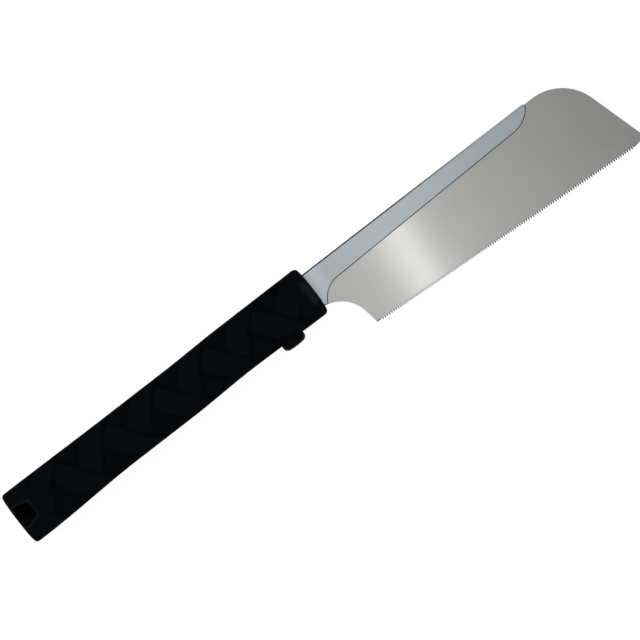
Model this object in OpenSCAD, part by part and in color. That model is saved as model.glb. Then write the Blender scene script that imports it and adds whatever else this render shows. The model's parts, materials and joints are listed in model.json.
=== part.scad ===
// Pull saw with a folded back, a push-in blade and a cross-wrapped rubber grip.
// It is drawn with the grip's mouth at x = 0, the grip's axis along X, the tip towards +X and the
// back towards +Y, in the plane of the blade, and is then set down on its side.

/* [Blade] */
// Length of the bottom edge, from the heel corner to the toe
edge_len = 180; // [140:1:240]
// Angle at which the tooth line falls away from the back, in degrees
edge_tilt = 3.5; // [0:0.1:6]
// Distance from one tooth point to the next
tooth_pitch = 1.5; // [1:0.05:3]
// Depth of a tooth, from its point to the gullet
tooth_depth = 1.8; // [0.6:0.05:2.2]
// Plain stretch of the edge at the heel
heel_land = 3; // [1:0.5:10]
// Plain stretch of the edge at the toe
toe_land = 9; // [3:0.5:20]
// Height by which the plain edge at the toe turns up
toe_rise = 2.3; // [0.5:0.1:3]
// Radius of the toe's lower corner
toe_corner_r = 1.2; // [0.5:0.1:4]
// Thickness of the blade
blade_t = 0.5; // [0.3:0.05:0.9]
// Distance from the grip's mouth forward to the heel corner
heel_ahead = 16.85; // [14:0.05:40]
// Drop of the tooth line below the grip's axis at the heel
heel_drop = 36.85; // [30:0.05:60]
// Lean of the heel edge from square, in degrees
heel_lean = 9; // [0:0.5:20]
// Radius of the notch between the heel and the neck
notch_r = 19.7; // [8:0.1:26]
// Drop of the neck's lower edge below the grip's axis
neck_drop = 10.9; // [8:0.1:12]
// Lean of the toe edge from square, in degrees
toe_lean = 16.4; // [0:0.1:30]
// Radius of the toe's upper corner
toe_r = 27.6; // [5:0.1:34]

/* [Back] */
// Height of the folded edge above the grip's axis
back_up = 10.05; // [9:0.05:12]
// Depth of the back at the grip's mouth
back_h = 13.25; // [10:0.05:15]
// Angle at which the back grows shallower towards the tip, in degrees
back_taper = 1.46; // [0:0.02:2]
// Length of the back ahead of the grip's mouth
back_len = 154.25; // [100:0.05:165]
// Thickness of the back's sheet
sheet_t = 0.7; // [0.4:0.05:1.2]
// Radius of the sweep from the back down to the neck
flare_r = 15; // [10:0.1:18]
// Distance from the grip's mouth to the sweep's foot
flare_ahead = 0.2; // [0.2:0.1:4]
// Length of the curve at the back's front end
nose_len = 14.8; // [6:0.1:18]
// Radius of that curve
nose_r = 20; // [8:0.1:30]
// Bevel on the back's upper front corner
nose_bevel = 1; // [0.2:0.1:2]

/* [Tang] */
// Length of the tang behind its shoulders
tang_len = 42; // [34:0.5:60]
// Height of the tang's upper edge above the grip's axis
tang_up = 8; // [6:0.1:8.5]
// Drop of the tang's lower edge below the grip's axis
tang_down = 3.5; // [2:0.1:3.8]
// Bevel on the tang's rear corners
tang_bevel = 1.5; // [0.5:0.1:3]
// Clearance of the tang in its socket, on each side
tang_fit = 0.08; // [0.04:0.01:0.2]

/* [Grip] */
// Length of the grip
grip_len = 207.25; // [170:0.05:260]
// Thickness of the grip, across the blade
grip_t = 26; // [24:0.1:34]
// Squareness of the grip's section, where 2 is an ellipse
grip_square = 2.5; // [2:0.1:4]
// Reach of the grip above its axis at the mouth
mouth_up = 15.35; // [14.5:0.05:20]
// Reach of the grip below its axis at the mouth
mouth_down = 15.25; // [14.5:0.05:18]
// Reach of the grip below its axis in the finger hollow
hollow_down = 14.4; // [14.2:0.1:18]
// Distance from the mouth back to the finger hollow
hollow_back = 55; // [45:1:80]
// Reach of the grip above its axis at the waist
waist_up = 14.7; // [14.2:0.1:20]
// Reach of the grip below its axis at the waist
waist_down = 15.4; // [14.4:0.1:20]
// Distance from the mouth back to the waist
waist_back = 95; // [80:1:140]
// Length of the even stretch at the waist
waist_len = 40; // [0:1:60]
// Reach of the grip above its axis at the butt
butt_up = 15.1; // [14.5:0.1:22]
// Reach of the grip below its axis at the butt
butt_down = 17.4; // [14.5:0.1:24]
// Length of the full swell at the butt
butt_len = 8; // [6:1:40]
// Radius of the grip's front edge
mouth_r = 2.5; // [1:0.1:5]
// Radius of the grip's rear edge
butt_r = 1.5; // [1:0.1:4]
// Bow of the grip's two end faces
end_bow = 1; // [0.2:0.1:2]
// Thickness of the rubber over the core
sleeve_wall = 2.5; // [2:0.1:3.2]
// Thickness of the rubber in front of the core
mouth_wall = 4; // [3:0.1:6]
// Thickness of the rubber behind the core
butt_wall = 2.4; // [2:0.1:4]
// Gap between the neck and the mouth's slot
mouth_gap = 0.5; // [0.3:0.05:1]

/* [Wrap] */
// Length of one full turn of a wrapped band
wrap_pitch = 68.6; // [50:0.2:100]
// Width of a band as a share of the spacing between bands
band_share = 0.46; // [0.4:0.01:0.64]
// Angle over which a band's edge falls, in degrees
band_edge = 6; // [3:0.5:10]
// Height of a band above the ground between bands
band_h = 0.4; // [0.2:0.05:1.4]
// Angle from the side to the first row of crossings, in degrees
cross_angle = -38; // [-60:1:60]
// Distance from the mouth back to the first crossing in that row
cross_back = 24.95; // [10:0.05:40]
// Plain stretch at the grip's mouth
mouth_collar = 9; // [6:0.5:20]
// Plain stretch at the grip's butt
butt_collar = 15; // [6:0.5:30]
// Length over which the bands sink in at those stretches
collar_fade = 3; // [1:0.5:8]
// Angle over which the bands sink in towards the grip's upper and lower edges, in degrees
edge_fade = 35; // [10:1:60]

/* [Core] */
// Wall of the hollow core
core_wall = 2.4; // [1.6:0.1:3.2]
// Length of the solid front of the core
core_front = 54; // [52:1:80]
// Length of the solid rear of the core
core_rear = 18; // [16:0.5:30]
// Thickness of a bulkhead in the core
bulkhead_t = 8; // [6:0.5:12]
// Number of bulkheads
bulkheads = 3; // [1:1:5]
// Diameter of a locating peg
peg_d = 4; // [2:0.1:5]
// Length of a locating peg
peg_len = 5; // [2:0.1:7]
// Clearance around pegs and set-in pieces
set_fit = 0.05; // [0.02:0.01:0.15]

/* [Hanging eye] */
// Diameter of the hole in the core
hang_d = 6; // [5:0.1:9]
// Core left between its rear end and the hole
hang_bar = 2; // [2:0.1:6]
// Drop of the hole below the grip's axis
hang_drop = 0.7; // [0:0.1:2]
// Length of the window in the rubber around the hole
window_len = 8.4; // [7:0.1:16]
// Width of the window at its rear end
window_rear = 12.4; // [11:0.1:17]
// Width of the window at its front end
window_front = 7.8; // [7:0.1:15]
// Radius of the window's rear corners
window_rear_r = 1.5; // [0.5:0.1:4]
// Radius of the window's front corners
window_front_r = 3; // [1:0.1:4.7]
// Rubber left between the grip's rear end and the window
window_bar = 2.5; // [2.5:0.1:5]

/* [Socket] */
// Thickness of the socket's sheet
socket_t = 0.8; // [0.5:0.05:1.2]
// Diameter of the pin that holds the socket in the core
pin_d = 3; // [2:0.1:4]
// Length of the pin
pin_len = 15; // [10:0.5:17]
// Gap between the tang's end and the pin
pin_gap = 0.5; // [0.3:0.1:2]
// Length of the socket behind the pin's middle
socket_tail = 4; // [3:0.1:6]

/* [Clamp] */
// Distance from the mouth back to the clamping screw
clamp_back = 26.1; // [20:0.1:34]
// Nominal diameter of the screw
stud_d = 5; // [4:0.1:5.5]
// Pitch of the screw's thread
thread_pitch = 0.8; // [0.5:0.05:1]
// Turns from tight to fully slackened
clamp_turns = 2; // [1:0.25:2.5]
// Radial clearance of the thread in the nut
thread_fit = 0.05; // [0.02:0.01:0.1]
// Length of the spigot that turns in the shoe
spigot_len = 1.4; // [0.8:0.1:1.6]
// Diameter of that spigot
spigot_d = 3.2; // [2:0.1:3.6]
// Length of the shoe along the tang
shoe_len = 10; // [8:0.1:14]
// Width of the shoe across the tang
shoe_w = 6; // [5:0.1:8]
// Thickness of the shoe under the tang
shoe_h = 2.2; // [2:0.1:3]
// Height of the shoe's cheeks beside the tang
shoe_cheek = 0.9; // [0.4:0.1:1.4]
// Gap between shoe and tang when tight
shoe_gap = 0.03; // [0.01:0.01:0.1]
// Width of the square nut
nut_w = 8; // [7:0.1:10]
// Height of the nut
nut_h = 2.7; // [2:0.1:3]
// Room left between the slackened shoe and the nut
nut_room = 0.2; // [0.1:0.05:0.5]

/* [Knob] */
// Diameter of the knob
knob_d = 14.6; // [12:0.1:19]
// Height of the knob
knob_h = 6.3; // [4:0.05:9]
// Drop of the knob's inner face below the core
knob_drop = 1; // [0.9:0.1:3]
// Diameter of the hub on the knob's inner face
hub_d = 11; // [8:0.1:14]
// Gap between the hub and the core when tight
hub_gap = 0.2; // [0.1:0.05:0.6]
// Radius of the knob's outer rim
knob_round = 3.2; // [0.5:0.1:3.6]
// Radius of the knob's inner rim
knob_inner_r = 0.8; // [0.2:0.1:1.2]
// Number of finger flutes around the knob
flutes = 16; // [8:1:30]
// Diameter of a flute
flute_d = 2; // [1:0.1:3]
// Depth of a flute
flute_depth = 0.45; // [0.2:0.05:0.8]
// Depth to which the screw is moulded into the knob
stud_set = 4; // [2:0.1:4.5]
// Gap around the knob and its hub in their recess
recess_gap = 0.5; // [0.3:0.1:2]
// Rubber left over the core in the recess
recess_skin = 0.8; // [0.3:0.1:0.8]

/* [Hidden] */
$fn = 64;
// Length of a cut that goes right through, and how far any other cut runs past the face that it opens
through = 100;
over = 1;

// Colours
steel = [0.72, 0.71, 0.69];
plated = [0.66, 0.7, 0.74];
rubber = [0.05, 0.05, 0.055];
plastic = [0.09, 0.09, 0.1];
zinc = [0.6, 0.61, 0.62];
brass = [0.76, 0.63, 0.34];

// Rounding of outlines

// Points of an arc about a centre, from one angle to another
function arc(centre, r, from, to, steps = 16) =
  [for (k = [0:steps]) let (turn = from + (to - from) * k / steps) centre + r * [cos(turn), sin(turn)]];

function unit(v) = v / norm(v);

// Points that replace corner c, between p and n, by an arc of radius r
function corner(p, c, n, r) =
  let (a = unit(p - c),
       b = unit(n - c),
       half = acos(a * b) / 2,
       centre = c + unit(a + b) * r / sin(half),
       first = c + a * r / tan(half) - centre,
       last = c + b * r / tan(half) - centre,
       from = atan2(first.y, first.x),
       turn = atan2(last.y, last.x) - from,
       sweep = turn > 180 ? turn - 360 : turn < -180 ? turn + 360 : turn)
  arc(centre, r, from, from + sweep);

function flat_point(p) = [p.x, p.y];

// An outline of [x, y, radius] corners with its round corners drawn as arcs
function rounded(corners) =
  let (n = len(corners))
  [for (i = [0:n - 1])
    let (c = corners[i], p = corners[(i + n - 1) % n], q = corners[(i + 1) % n])
    each c.z > 0 ? corner(flat_point(p), flat_point(c), flat_point(q), c.z) : [flat_point(c)]];

// Blade
blade_up = back_up - sheet_t;
shoulder_x = -mouth_wall;
tang_end_x = shoulder_x - tang_len;
heel = [heel_ahead, -heel_drop];
along = [cos(edge_tilt), -sin(edge_tilt)];
inward = [sin(edge_tilt), cos(edge_tilt)];
land_share = 0.4;
land_rise = tooth_depth * land_share;
tooth_count = floor((edge_len - heel_land - toe_land) / tooth_pitch);
tooth_face = 0.36;
tooth_top = 0.6;
tooth_top_drop = 0.12;
toe = heel + along * edge_len + inward * toe_rise;
toe_top_x = toe.x - (blade_up - toe.y) * tan(toe_lean);
notch_x = heel_ahead - (heel_drop - land_rise - neck_drop) * tan(heel_lean);
notch_half = (90 + heel_lean) / 2;
notch_room = (notch_x - shoulder_x) * tan(notch_half);
notch_used = min(notch_r, notch_room);

function edge_point(s, inset) = heel + along * s + inward * inset;

function tooth(start) = [
  edge_point(start, tooth_depth),
  edge_point(start + tooth_face * tooth_pitch, 0),
  edge_point(start + tooth_top * tooth_pitch, tooth_top_drop * tooth_depth)
];

function plain(points) = [for (p = points) [p.x, p.y, 0]];

teeth_end = heel_land + tooth_count * tooth_pitch;
tooth_line = [for (i = [0:tooth_count - 1]) each tooth(heel_land + i * tooth_pitch)];
edge_corners = concat(
  plain([edge_point(0, land_rise), edge_point(heel_land - tooth_pitch / 4, land_rise)]),
  plain(tooth_line),
  plain([edge_point(teeth_end, tooth_depth), edge_point(teeth_end + tooth_pitch / 4, land_rise)]),
  [[toe.x, toe.y, toe_corner_r]]);
tang_corners = [
  [shoulder_x, tang_up, 0],
  [tang_end_x + tang_bevel, tang_up, 0],
  [tang_end_x, tang_up - tang_bevel, 0],
  [tang_end_x, tang_bevel - tang_down, 0],
  [tang_end_x + tang_bevel, -tang_down, 0],
  [shoulder_x, -tang_down, 0]
];
notch_corner = [notch_x, -neck_drop, notch_used];
blade_corners = concat(
  edge_corners,
  [[toe_top_x, blade_up, toe_r], [shoulder_x, blade_up, 0]],
  tang_corners,
  [[shoulder_x, -neck_drop, 0], notch_corner]);
blade_outline = rounded(blade_corners);

module blade_plate(thickness) {
  linear_extrude(thickness, center = true) polygon(blade_outline);
}

module saw_blade() {
  color(steel) blade_plate(blade_t);
}

// Back, a folded sheet whose two cheeks grip the blade and run on as the tang
back_t = blade_t + 2 * sheet_t;

function back_low(x) = back_up - back_h + x * tan(back_taper);

flare_x = flare_ahead + flare_r * (1 - sin(back_taper));
flare_centre = [flare_ahead + flare_r, back_low(flare_x) - flare_r * cos(back_taper)];
nose_x = back_len - nose_len;
nose_centre = [nose_x, back_low(nose_x) + nose_r / cos(back_taper)];
nose_full = asin(min(0, (back_up - nose_bevel - nose_centre.y) / nose_r));
nose_end = min(nose_full, -acos(min(1, nose_len / nose_r)));
nose_arc = arc(nose_centre, nose_r, back_taper - 90, nose_end);
nose_tip = nose_arc[len(nose_arc) - 1];
flare_arc = arc(flare_centre, flare_r, 180, 90 + back_taper);
back_outline = concat(
  flare_arc,
  nose_arc,
  [[nose_tip.x, back_up - nose_bevel], [nose_tip.x - nose_bevel, back_up], [shoulder_x, back_up]],
  [for (c = tang_corners) flat_point(c)],
  [[shoulder_x, flare_centre.y]]);
notch_outline = rounded([
  [2 * tang_end_x, -neck_drop, 0],
  notch_corner,
  [heel.x, -heel_drop + land_rise, 0],
  [heel.x, -through, 0],
  [2 * tang_end_x, -through, 0]
]);

module along_x(length) {
  rotate([90, 0, 90]) linear_extrude(length) children();
}

// Section of the folded sheet, with its fold rounded over
module fold_section() {
  translate([back_up - back_t / 2, 0]) circle(d = back_t);
  translate([back_up - back_t / 2 - through, -back_t / 2]) square([through, back_t]);
}

module blade_back() {
  color(plated) difference() {
    intersection() {
      linear_extrude(back_t, center = true) difference() {
        polygon(back_outline);
        polygon(notch_outline);
      }
      translate([tang_end_x, 0, 0]) along_x(back_len - tang_end_x) fold_section();
    }
    translate([tang_end_x - over, blade_up - through, -blade_t / 2])
      cube([back_len - tang_end_x + 2 * over, through, blade_t]);
  }
}

// Grip sleeve: its section, eased between stations along the grip
waist_end = waist_back + waist_len;
butt_back = grip_len - butt_len;

function ease(t) = let (k = max(0, min(1, t))) k * k * (3 - 2 * k);

function between(d, d0, v0, d1, v1) = v0 + (v1 - v0) * ease((d - d0) / (d1 - d0));

function grip_up(d) = d < waist_back
  ? between(d, hollow_back, mouth_up, waist_back, waist_up)
  : between(d, waist_end, waist_up, butt_back, butt_up);

function grip_down(d) = d < hollow_back
  ? between(d, 0, mouth_down, hollow_back, hollow_down)
  : d < waist_back
    ? between(d, hollow_back, hollow_down, waist_back, waist_down)
    : between(d, waist_end, waist_down, butt_back, butt_down);

function squared(s) = sign(s) * pow(abs(s), 2 / grip_square);

// Point on the grip's skin, inset from it, at distance d behind the mouth and angle turn about the axis
function skin_point(x, d, turn, inset) =
  let (up = grip_up(d), down = grip_down(d))
  [x,
   (up - down) / 2 + ((up + down) / 2 - inset) * squared(sin(turn)),
   (grip_t / 2 - inset) * squared(cos(turn))];

// The wrap: two families of bands that wind opposite ways and pass over and under each other.
// The skin is a lattice of lines along both families, with lines at each band's middle and edges.
band_top = 90 * band_share - band_edge / 2;
band_foot = 90 * band_share + band_edge / 2;
mid_ground = (band_foot + 90) / 2;
half_marks = [0, band_top / 2, band_top, band_foot, mid_ground];
band_marks = concat(half_marks, [90], [for (k = [len(half_marks) - 1:-1:1]) 180 - half_marks[k]]);
on_band = [for (m = band_marks) min(m, 180 - m) < 90 * band_share ? 1 : 0];
marks = len(band_marks);
ring = 2 * marks;
under_share = 0.5;

function mark_index(i) = i - marks * floor(i / marks);
function mark(i) = band_marks[mark_index(i)] + 180 * floor(i / marks);

// The same line evened out, so that the lattice's rings run straight round the grip's two ends
function evened(i, share) = let (even = 180 / marks * i) even + (mark(i) - even) * share;

ring_step = wrap_pitch / 2 / marks / 2;

function wound_share(s) =
  let (d = cross_back - s * ring_step)
  ease((d - mouth_r - end_bow) / mouth_collar) * ease((grip_len - butt_r - end_bow - d) / butt_collar);

// Height of the wrap where line i of one family meets line j of the other, as a share of band_h
function wrap_height(i, j) =
  let (p = mark(i),
       q = mark(j),
       sway = (1 - under_share) / 2,
       rising = on_band[mark_index(i)] * (1 - sway - sway * cos(q + 180 * round(p / 180))),
       falling = on_band[mark_index(j)] * (1 - sway + sway * cos(p + 180 * round(q / 180))))
  max(rising, falling);

// A point that runs past an end of the grip turns over its edge and on across its end face
end_reach = 7;

function folded(past, r) = past < 0
  ? [past, 0]
  : past < r * PI / 2
    ? [r * sin(past / r * 180 / PI), r - r * cos(past / r * 180 / PI)]
    : [r, past - r * PI / 2 + r];

function bowed(inset) = end_bow * (1 - pow(1 - min(1, inset / mouth_down), 2));

function wrap_point(i, s) =
  let (share = wound_share(s),
       p = evened(i, share),
       q = evened(i + s, share),
       turn = cross_angle + (p + q) / 2,
       flat_x = -cross_back + (q - p) / 2 * wrap_pitch / 360,
       front = folded(flat_x + end_bow + mouth_r, mouth_r),
       rear = folded(-flat_x - grip_len + end_bow + butt_r, butt_r),
       inset = max(front[1], rear[1]),
       x = flat_x > -grip_len / 2
         ? front[0] - mouth_r - end_bow + bowed(front[1])
         : -grip_len + end_bow + butt_r - rear[0] - bowed(rear[1]),
       d = max(0, min(grip_len, -flat_x)),
       ends = ease((d - mouth_collar) / collar_fade) * ease((grip_len - butt_collar - d) / collar_fade),
       fade = ends * ease(asin(abs(cos(turn))) / edge_fade))
  skin_point(x, d, turn, inset + band_h * fade * (1 - wrap_height(i, i + s)));

// How far the lattice runs past an end, so that its last points lie end_reach in from the skin
function run_over(r) = end_reach + r * (PI / 2 - 2) - end_bow;

first_ring = round((cross_back - grip_len - run_over(butt_r)) / ring_step);
last_ring = round((cross_back + run_over(mouth_r)) / ring_step);
rings = last_ring - first_ring + 1;
wrap_points = [for (s = [first_ring:last_ring]) for (i = [0:ring - 1]) wrap_point(i, s)];

function at(i, k) = k * ring + (i + ring) % ring;

butt_pole = rings * ring;
mouth_pole = butt_pole + 1;

// Diamond i of ring k as two faces, split along its ring at the plain ends and along the grip elsewhere
function diamond(i, k) = wound_share(first_ring + k) < 0.5
  ? [[at(i, k), at(i + 1, k - 1), at(i + 1, k)], [at(i, k), at(i + 1, k), at(i, k + 1)]]
  : [[at(i, k), at(i + 1, k - 1), at(i, k + 1)], [at(i + 1, k - 1), at(i + 1, k), at(i, k + 1)]];

lattice_faces = [for (k = [1:rings - 2]) for (i = [0:ring - 1]) each diamond(i, k)];
butt_faces = [for (i = [0:ring - 1])
  each [[at(i, 1), butt_pole, at(i + 1, 0)], [at(i + 1, 0), butt_pole, at(i + 1, 1)]]];
mouth_faces = [for (i = [0:ring - 1])
  each [[at(i, rings - 2), at(i, rings - 1), mouth_pole],
        [at(i, rings - 1), at(i + 1, rings - 2), mouth_pole]]];
poles = [[-grip_len, (grip_up(grip_len) - grip_down(grip_len)) / 2, 0],
         [0, (mouth_up - mouth_down) / 2, 0]];
grip_points = concat(wrap_points, poles);
grip_faces = concat(lattice_faces, butt_faces, mouth_faces);

// Core, in two halves that meet in the plane of the blade
core_h = waist_up + min(hollow_down, waist_down) - 2 * sleeve_wall;
core_t = grip_t - 2 * sleeve_wall - band_h;
core_start = mouth_wall;
core_end = grip_len - butt_wall;
hang_x = -core_end + hang_bar + hang_d / 2;
peg_root = peg_len / 2;

module bar_section(height, thickness) {
  for (side = [-1, 1]) translate([side * (height - thickness) / 2, 0]) circle(d = thickness);
  square([height - thickness, thickness], center = true);
}

module core_bar() {
  translate([-core_end, 0, 0]) along_x(core_end - core_start) bar_section(core_h, core_t);
}

hollow_start = core_start + core_front;
hollow_end = core_end - core_rear;
hollow_step = (hollow_end - hollow_start + bulkhead_t) / (bulkheads + 1);

module core_hollows() {
  for (k = [0:bulkheads])
    translate([-hollow_start - (k + 1) * hollow_step + bulkhead_t, 0, 0])
      along_x(hollow_step - bulkhead_t) bar_section(core_h - 2 * core_wall, core_t - 2 * core_wall);
}

module at_pegs() {
  for (k = [1:bulkheads])
    translate([-hollow_start - k * hollow_step + bulkhead_t / 2, 0, 0]) children();
}

module hang_hole() {
  translate([hang_x, -hang_drop, 0]) cylinder(d = hang_d, h = through, center = true);
}

// Box whose X and Y spans are given and which lies across the blade's plane
module slab(x0, x1, y0, y1, width) {
  translate([x0, y0, -width / 2]) cube([x1 - x0, y1 - y0, width]);
}

// Socket and its pin
pin_x = tang_end_x - pin_gap - pin_d / 2;
pin_y = (tang_up - tang_down) / 2;
socket_end = pin_x - socket_tail;
socket_in_w = back_t + 2 * tang_fit;
socket_out_w = socket_in_w + 2 * socket_t;
socket_up = tang_up + tang_fit + socket_t;
socket_down = tang_down + tang_fit + socket_t;

module pin_rod(diameter, length) {
  translate([pin_x, pin_y, 0]) cylinder(d = diameter, h = length, center = true);
}

// Clamp: heights along the screw, measured down from the grip's axis
stud_x = -clamp_back;
clamp_travel = clamp_turns * thread_pitch;
shoe_top = tang_down - shoe_cheek;
shoe_floor = tang_down + shoe_gap;
shoe_foot = shoe_floor + shoe_h;
nut_top = shoe_foot + clamp_travel + nut_room;
knob_in = core_h / 2 + knob_drop;
knob_out = knob_in + knob_h;
recess_d = knob_d + 2 * recess_gap;
recess_floor = core_h / 2 + recess_skin;
shoe_room = 2 * tang_fit;
stud_room = 2 * thread_fit;

// Round bar on the screw's axis between two drops below the grip's axis
module clamp_rod(diameter, from, to) {
  translate([stud_x, -from, 0]) rotate([90, 0, 0]) cylinder(d = diameter, h = to - from);
}

// Box about the screw's axis between two drops below the grip's axis
module clamp_block(length, width, from, to) {
  slab(stud_x - length / 2, stud_x + length / 2, -to, -from, width);
}

module core_pockets() {
  core_hollows();
  hang_hole();
  slab(socket_end - set_fit, 0, -socket_down - set_fit, socket_up + set_fit, socket_out_w + 2 * set_fit);
  pin_rod(pin_d + 2 * set_fit, pin_len + 2 * set_fit);
  clamp_block(shoe_len + 2 * shoe_room, shoe_w + 2 * shoe_room, shoe_top - shoe_room, nut_top);
  clamp_block(nut_w + 2 * set_fit, nut_w + 2 * set_fit, nut_top - set_fit, nut_top + nut_h + set_fit);
  clamp_rod(stud_d + 2 * stud_room, nut_top, core_h);
}

// Half of the core on the side of the blade's plane that the sign gives
module core_half(side) {
  difference() {
    intersection() {
      core_bar();
      translate([-grip_len, -through / 2, side > 0 ? 0 : -through]) cube([grip_len, through, through]);
    }
    core_pockets();
  }
}

module core_right() {
  color(plastic) difference() {
    core_half(1);
    at_pegs() translate([0, 0, -over]) cylinder(d = peg_d + 2 * set_fit, h = over + peg_len + set_fit);
  }
}

module core_left() {
  color(plastic) {
    core_half(-1);
    at_pegs() translate([0, 0, -peg_root]) cylinder(d = peg_d, h = peg_root + peg_len);
  }
}

window_rear_x = -grip_len + window_bar;
window_front_x = window_rear_x + window_len;
window_outline = rounded([
  [window_rear_x, -window_rear / 2, window_rear_r],
  [window_front_x, -window_front / 2, window_front_r],
  [window_front_x, window_front / 2, window_front_r],
  [window_rear_x, window_rear / 2, window_rear_r]
]);

module grip_sleeve() {
  color(rubber) difference() {
    polyhedron(grip_points, grip_faces);
    core_bar();
    translate([0, -hang_drop, 0]) linear_extrude(through, center = true) polygon(window_outline);
    slab(-mouth_wall - over, over, -neck_drop - mouth_gap, back_up + mouth_gap, back_t + 2 * mouth_gap);
    clamp_rod(recess_d, recess_floor, through);
    clamp_rod(hub_d + 2 * recess_gap, 0, through);
  }
}

module tang_socket() {
  color(zinc) difference() {
    slab(socket_end, shoulder_x, -socket_down, socket_up, socket_out_w);
    slab(socket_end - over, 0, -tang_down - tang_fit, tang_up + tang_fit, socket_in_w);
    clamp_block(shoe_len + 2 * tang_fit, through, shoe_top - tang_fit, through);
    pin_rod(pin_d + 2 * set_fit, through);
  }
}

module socket_pin() {
  color(zinc) pin_rod(pin_d, pin_len);
}

module clamp_shoe() {
  color(brass) difference() {
    clamp_block(shoe_len, shoe_w, shoe_top, shoe_foot);
    clamp_block(through, socket_in_w, -through, shoe_floor);
    clamp_rod(spigot_d + 2 * thread_fit, shoe_foot - spigot_len - thread_fit, through);
  }
}

module clamp_nut() {
  color(zinc) difference() {
    clamp_block(nut_w, nut_w, nut_top, nut_top + nut_h);
    clamp_rod(stud_d + 2 * thread_fit, 0, through);
  }
}

module clamp_stud() {
  color(zinc) {
    clamp_rod(spigot_d, shoe_foot - spigot_len, shoe_foot + spigot_len);
    clamp_rod(stud_d, shoe_foot + thread_fit, knob_in + stud_set);
  }
}

// Half section of the knob and its hub, with the outer rim rounded over
module knob_section() {
  polygon(rounded([
    [0, hub_gap - knob_drop, 0],
    [hub_d / 2, hub_gap - knob_drop, 0],
    [hub_d / 2, 0, 0],
    [knob_d / 2, 0, min(knob_inner_r, (knob_d - hub_d) / 2)],
    [knob_d / 2, knob_h, knob_round],
    [0, knob_h, 0]
  ]));
}

module clamp_knob() {
  flute_out = knob_d / 2 + flute_d / 2 - flute_depth;
  color(plastic) difference() {
    translate([stud_x, -knob_in, 0]) rotate([90, 0, 0]) difference() {
      rotate_extrude() knob_section();
      for (k = [1:flutes])
        rotate(k * 360 / flutes) translate([flute_out, 0, -over])
          cylinder(d = flute_d, h = knob_h + 2 * over);
    }
    clamp_rod(stud_d + 2 * set_fit, 0, knob_in + stud_set + set_fit);
  }
}

// The saw lies on its side, with its middle over the origin and its lowest point on the ground
low_x = -grip_len;
high_x = max([for (p = blade_outline) p.x]);
low_y = min([for (p = blade_outline) p.y]);
high_y = max([for (p = grip_points) p.y]);
low_z = min([for (p = grip_points) p.z]);
set_down = [-(low_x + high_x) / 2, -(low_y + high_y) / 2, -low_z];

module lay() {
  translate(set_down) children();
}

lay() saw_blade();
lay() blade_back();
lay() grip_sleeve();
lay() core_right();
lay() core_left();
lay() tang_socket();
lay() socket_pin();
lay() clamp_shoe();
lay() clamp_nut();
lay() clamp_stud();
lay() clamp_knob();
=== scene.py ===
"""Looks of a pull saw: a cross-wrapped rubber grip, a ground blade in a folded back, and a clamping knob.

Lengths in the saw's parts are in millimetres, in the saw's own layout: x runs from the grip's mouth towards
the tip, y across the blade towards its back, and z out of the blade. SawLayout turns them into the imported
frame, in metres. Lengths in the finishes and in the studio are in metres, as the frame is.
"""

from __future__ import annotations

import json
import logging
import math
from dataclasses import dataclass, field
from enum import Enum
from typing import Any, Callable, Iterable, Sequence

import bmesh
import bpy
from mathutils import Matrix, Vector

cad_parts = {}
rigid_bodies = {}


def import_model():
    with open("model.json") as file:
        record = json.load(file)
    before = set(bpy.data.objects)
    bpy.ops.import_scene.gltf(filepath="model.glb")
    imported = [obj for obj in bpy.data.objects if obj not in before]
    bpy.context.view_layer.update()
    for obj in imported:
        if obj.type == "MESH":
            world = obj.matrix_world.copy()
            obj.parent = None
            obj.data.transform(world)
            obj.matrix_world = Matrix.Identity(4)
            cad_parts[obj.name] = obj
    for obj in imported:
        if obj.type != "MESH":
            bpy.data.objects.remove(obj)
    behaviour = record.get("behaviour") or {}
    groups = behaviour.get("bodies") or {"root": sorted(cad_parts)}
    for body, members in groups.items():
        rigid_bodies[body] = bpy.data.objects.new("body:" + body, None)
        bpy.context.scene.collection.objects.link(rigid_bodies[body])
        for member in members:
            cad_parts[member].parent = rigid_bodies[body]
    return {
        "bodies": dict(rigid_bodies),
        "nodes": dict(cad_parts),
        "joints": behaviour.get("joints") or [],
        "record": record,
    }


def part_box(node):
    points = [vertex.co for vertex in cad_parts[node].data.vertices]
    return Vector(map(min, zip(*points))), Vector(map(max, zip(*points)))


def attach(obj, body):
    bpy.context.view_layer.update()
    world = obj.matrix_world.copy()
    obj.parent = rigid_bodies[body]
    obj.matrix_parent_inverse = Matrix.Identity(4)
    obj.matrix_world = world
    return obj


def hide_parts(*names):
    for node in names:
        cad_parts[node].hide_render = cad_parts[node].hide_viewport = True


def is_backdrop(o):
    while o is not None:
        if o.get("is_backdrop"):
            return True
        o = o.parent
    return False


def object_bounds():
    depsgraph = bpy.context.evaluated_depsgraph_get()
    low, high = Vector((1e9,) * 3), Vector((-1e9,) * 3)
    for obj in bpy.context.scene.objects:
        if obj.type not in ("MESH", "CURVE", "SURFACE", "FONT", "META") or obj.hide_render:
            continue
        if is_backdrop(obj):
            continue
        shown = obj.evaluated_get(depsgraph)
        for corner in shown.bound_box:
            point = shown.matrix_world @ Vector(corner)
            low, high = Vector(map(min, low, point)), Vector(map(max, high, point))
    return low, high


LOG = logging.getLogger("pull_saw")
MM = 0.001
FULL_TURN = 360.0
HALF_TURN = 180.0
QUARTER_TURN = 90.0

Colour = tuple[float, float, float]
Outline = list[Vector]
Skin = Callable[[Vector], float]


class Body(Enum):
    """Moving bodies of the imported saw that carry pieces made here."""

    HANDLE = "handle"
    BLADE = "blade"
    KNOB = "knob"


class Slot(Enum):
    """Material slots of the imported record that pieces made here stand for."""

    BLADE_STEEL = "blade_steel"
    BACK_PLATE = "back_plate"
    GRIP_RUBBER = "grip_rubber"
    ZINC_STEEL = "zinc_steel"
    KNOB_PLASTIC = "knob_plastic"


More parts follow.
